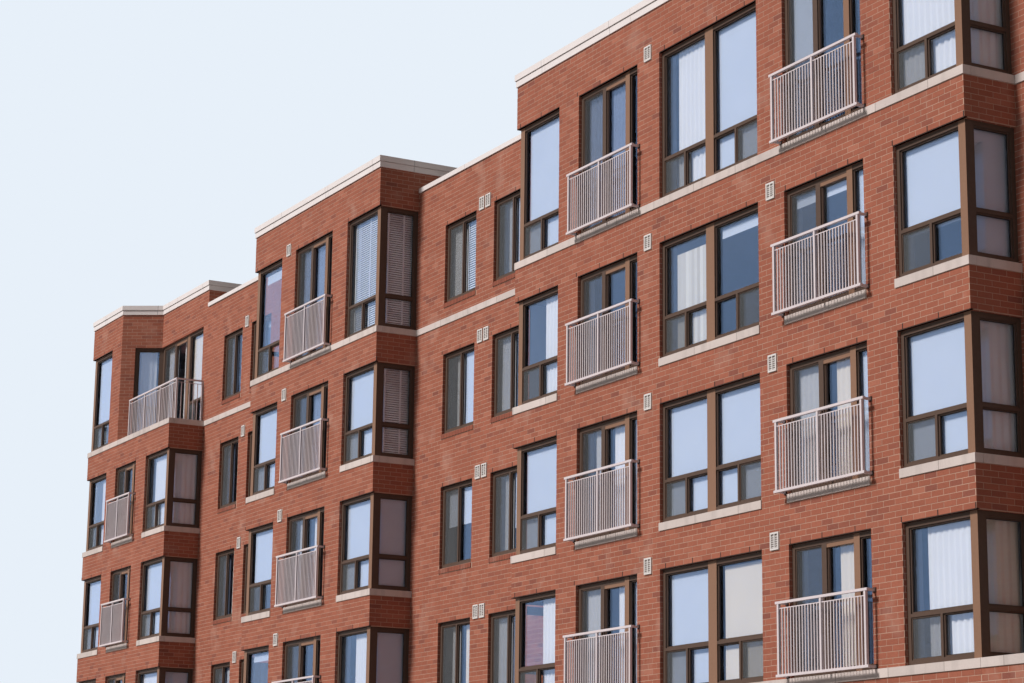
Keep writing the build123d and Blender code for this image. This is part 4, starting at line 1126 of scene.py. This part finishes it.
def sub_spans(a, b, kind):
    """The widths that one hanging covers in a unit."""
    m = (a + b) / 2
    if kind == "pair":
        return [(a + 0.03, m - 0.07), (m + 0.07, b - 0.03)]
    if kind in ("door", "left_door"):
        side = b - (SIDELIGHT if kind == "door" else LEFT_SIDELIGHT)
        end = side - DOOR_MULLION / 2
        m = (a + end) / 2
        return [(a + 0.03, m - 0.01), (m + 0.01, end - 0.02), (end + 0.02, b - 0.02)]
    if kind == "terrace_door":
        return [(a + 0.16, m - 0.01), (m + 0.01, b)]
    if kind == "link":
        return [(a + 0.02, m - 0.005), (m + 0.005, b - 0.02)]
    left = {"corner_left": 0.21, "return_right": 0.11}.get(kind, 0.03)
    right = {"corner_right": 0.21, "return_left": 0.11, "slant": 0.16}.get(kind, 0.03)
    return [(a + left, b - right)]


def letters(wall, k, index, count):
    """The hangings of one unit: from the list, or drawn for walls that it leaves out."""
    row = HANGINGS.get(wall.name, {}).get(k)
    if row:
        return row.split()[index]
    return "".join(rng.choice(USUAL, count))


print("walls in the list:", len(HANGINGS))

# %% [markdown]
# ## Hang them
# All hangings of one kind on one storey become one piece, and cloth is shaded as a smooth surface. It is
# declared as a sheet with its flat size: the longest drop, by the width that gives all its cloth at that
# drop, so width = summed area / longest drop.
# %% Shades, curtains and blinds
CLEAR = 0.02
FAMILIES = {"R": ("roller_shades", roller, shade_cloth), "F": ("cream_shades", roller, cream_cloth),
            "S": ("sheer_curtains", gathered, sheer_cloth), "C": ("cream_curtains", gathered, cream_cloth),
            "D": ("dark_voiles", gathered, dusk_cloth), "V": ("upright_blinds", upright_slats, cream_slats),
            "B": ("level_blinds", level_slats, white_slats)}
CLOTHS = "RFSCD"
total = dict.fromkeys(FAMILIES, 0)
for k in range(TOP + 1):
    heaps = {key: Heap() for key in FAMILIES}
    made = {key: [] for key in FAMILIES}
    index = {}
    for wall, a, b, foot, head, kind in units(k):
        index[wall.name] = index.get(wall.name, -1) + 1
        parts = sub_spans(a, b, kind)
        for (u0, u1), letter in zip(parts, letters(wall, k, index[wall.name], len(parts))):
            if letter == ".":
                continue
            key, start, end, below, rise = FORMS[letter]
            u0, u1 = u0 + start * (u1 - u0), u0 + end * (u1 - u0)
            low, high = foot + CLEAR, head - CLEAR
            low, high = low + rise * (high - low), high - below * (high - low)
            made[key].append((high - low, FAMILIES[key][1](heaps[key], wall, u0, u1, low, high)))
    for key, (name, _, finish) in FAMILIES.items():
        if made[key]:
            piece = make_piece(f"{name}_{k}", heaps[key], finish, soft=key in CLOTHS)
            total[key] += len(made[key])
print("hangings:", total)

# %% [markdown]
# ## Wall louvres
# The small white boxes on the piers are bathroom vents: a frame with a post down its middle and level blades
# on each side. The model holds their place with plain blocks, which these replace.
# %% Frames and blades of the louvres
RIM, VENT_POST, POST_OUT, THROAT_OUT = 0.026, 0.011, -VENT_OUT + 0.002, 0.004
BLADES, BLADE_PITCH, BLADE_FOOT, BLADE_T, BLADE_OUT = 6, 0.033, 0.008, 0.010, 0.017
louvres, throats = Heap(), Heap()
for name, places in VENTS.items():
    wall = WALLS[name]
    for k in range(TOP + 1):
        z = vent_middle(name, k)
        for u, width in places:
            a, b, low, high = u - width / 2, u + width / 2, z - VENT_H / 2, z + VENT_H / 2
            louvres.rings(wall, a, b, low, high, -VENT_OUT, 0.0, RIM)
            louvres.boxes(wall, (u - VENT_POST, POST_OUT, low + RIM), (u + VENT_POST, 0.0, high - RIM))
            throats.boxes(wall, (a + RIM, -THROAT_OUT, low + RIM), (b - RIM, 0.0, high - RIM))
            blades = low + RIM + BLADE_FOOT + BLADE_PITCH * np.arange(BLADES)
            for s, e in ((a + RIM, u - VENT_POST), (u + VENT_POST, b - RIM)):
                louvres.boxes(wall, rows(s, -BLADE_OUT, blades), rows(e, -THROAT_OUT, blades + BLADE_T))
vents = make_piece("wall_louvres", louvres, vent_paint)
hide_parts("wall_vents")
make_piece("louvre_throats", throats, slot_dark)

# %% [markdown]
# ## Cover strips on the copings
# Short strips of the same sheet clip over a coping to keep the rain out of its seams. Here one stands every
# ten feet along the fronts, the back of the terrace and two far sides, as two thin boxes, one over each fold
# of the sheet. They don't follow the fine seams that the coping's finish draws every eight feet.
# %% Cover strips
COPING_STEPS = [(0.0, 0.122, 0.025), (0.130, 0.250, 0.045)]
COVER_HALF, COVER_T, COVER_IN = 0.030, 0.0025, 0.010
STRIP_START, STRIP_END, STRIP_STEP = 1.06, 0.20, 3.05
RUNS = {"left_front": TERRACE_X, "terrace_back": 3.32, "middle_front": MIDDLE_RUN, "main_front": MAIN_RUN,
        "middle_far": 14.0, "main_far": 14.0}
covers = Heap()
for name, length in RUNS.items():
    for u in np.arange(STRIP_START, length - STRIP_END, STRIP_STEP):
        for z0, z1, out in COPING_STEPS:
            covers.boxes(WALLS[name], (u - COVER_HALF, -out - COVER_T, HIGH_TOP + z0 - HAIR),
                         (u + COVER_HALF, -out + COVER_IN, HIGH_TOP + z1 - HAIR))
make_piece("coping_covers", covers, sheet_metal.material)

# %% [markdown]
# ## Plates where the railings meet the wall
# Each railing before a door is bolted through four square plates, dark against the pale rails. They are drawn
# near black and large, so they also paint the brackets' shadow on the wall. They lie at the heights of the
# foot rail and the top rail.
# %% Railing plates
RAIL_SIDE, RAIL_TOP, RAIL_FOOT, RAIL_TALL, PLATE = 0.075, 1.135, 0.015, 0.038, 0.036
PLATE_SIDE, PLATE_OUT, PLATE_BACK = 0.017, 0.014, 0.002
plates = Heap()
for name in ("left_front", "middle_front", "main_front"):
    for k, level in enumerate(LEVELS):
        for a, b, kind in spans(name, k):
            if kind not in ("door", "left_door"):
                continue
            for u in (a - RAIL_SIDE + PLATE_SIDE, b + RAIL_SIDE - PLATE_SIDE):
                for z in (RAIL_TOP - RAIL_TALL / 2, RAIL_FOOT + RAIL_TALL / 2):
                    plates.boxes(WALLS[name], (u - PLATE, -PLATE_OUT, level + z - PLATE),
                                 (u + PLATE, -PLATE_BACK, level + z + PLATE))
make_piece("rail_plates", plates, steel_and_shade)

# %% [markdown]
# ## The studio floor
# The block stands on a plain pale floor. What the camera and the mirrors see of it is pale, while the light
# that it throws on the walls stays weak, as Light Path keeps the two apart.
# %% Floor
REACH, FLOOR_Z = 450.0, -0.002
corners = [(i * REACH, j * REACH, FLOOR_Z) for i, j in ((-1, -1), (1, -1), (1, 1), (-1, 1))]
floor_mesh = bpy.data.meshes.new("studio_floor")
floor_mesh.from_pydata(corners, [], [(0, 1, 2, 3)])
floor = bpy.data.objects.new("studio_floor", floor_mesh)
bpy.context.scene.collection.objects.link(floor)
ground = Finish("pale_floor", Roughness=0.9, Specular_IOR_Level=MATT)
pale = ground.mix(ground.noise(0.05), (0.80, 0.80, 0.79), (0.76, 0.76, 0.755))
ground.feed(Base_Color=ground.mix(ground.seen(), (0.24, 0.24, 0.24), pale))
floor_mesh.materials.append(ground.material)
print("floor", 2 * REACH, "m wide")

# %% [markdown]
# ## Lamps and world
# One large soft lamp stands high in front and a little to the left, so the front is lit and the sides that
# face right fall into shade, and a weaker one fills in the back. The world adds an even light, and its
# backdrop is a pale sky grey, which only the camera and the mirrors see.
# %% Lamps and backdrop


def lamp(name, towards, strength, spread):
    """A sun lamp that shines from a direction."""
    light = bpy.data.lights.new(name, "SUN")
    light.energy, light.angle = strength, math.radians(spread)
    holder = bpy.data.objects.new(name, light)
    away = -np.array(towards) / np.linalg.norm(towards)
    holder.rotation_mode = "QUATERNION"
    holder.rotation_quaternion = Vector(away).to_track_quat("-Z", "Y")
    bpy.context.scene.collection.objects.link(holder)


lamp("key_lamp", (-0.13, -0.74, 0.66), 4.0, 12)
lamp("back_lamp", (-0.55, 0.70, 0.50), 2.2, 25)
world = bpy.data.worlds.new("studio")
bpy.context.scene.world = world
world.use_nodes = True
world.node_tree.nodes.clear()
sky = Tree(world.node_tree)
glow = sky.node("ShaderNodeBackground", {}, {"Color": (0.94, 0.97, 1.0, 1), "Strength": 0.20})
backdrop = sky.node("ShaderNodeBackground", {}, {"Color": (0.80, 0.87, 0.95, 1), "Strength": 1.0})
choice = sky.node("ShaderNodeMixShader", {}, {0: sky.seen(), 1: glow, 2: backdrop})
world.node_tree.links.new(choice.socket, world.node_tree.nodes.new("ShaderNodeOutputWorld").inputs[0])
bpy.context.scene.view_settings.view_transform = "Standard"
print("studio ready")

# %% [markdown]
# ## The camera
# A camera is a place, a direction and a focal length. These were found by matching the corners, heads and
# sills of the block to where they stand in the picture: low, far to the right, looking left along the front
# and up, through a long lens.
# %% Camera
EYE = (41.903, -27.928, 0.816)
YAW, PITCH, ROLL = math.radians(-61.293), math.radians(12.715), math.radians(0.725)
FOCAL, FRAME_W, SENSOR = 2346.4, 1024, 36.0
ahead = np.array([math.sin(YAW) * math.cos(PITCH), math.cos(YAW) * math.cos(PITCH), math.sin(PITCH)])
level = np.array([math.cos(YAW), -math.sin(YAW), 0.0])
above = np.cross(level, ahead)
right = level * math.cos(ROLL) + above * math.sin(ROLL)
up = above * math.cos(ROLL) - level * math.sin(ROLL)
lens = bpy.data.cameras.new("camera")
lens.sensor_width, lens.lens = SENSOR, FOCAL * SENSOR / FRAME_W
lens.clip_start, lens.clip_end = 0.5, 2000.0
camera = bpy.data.objects.new("camera", lens)
bpy.context.scene.collection.objects.link(camera)
camera.matrix_world = Matrix([[right[i], up[i], -ahead[i], EYE[i]] for i in range(3)] + [[0, 0, 0, 1]])
bpy.context.scene.camera = camera
print("camera at", EYE, "lens", round(lens.lens, 2), "mm")
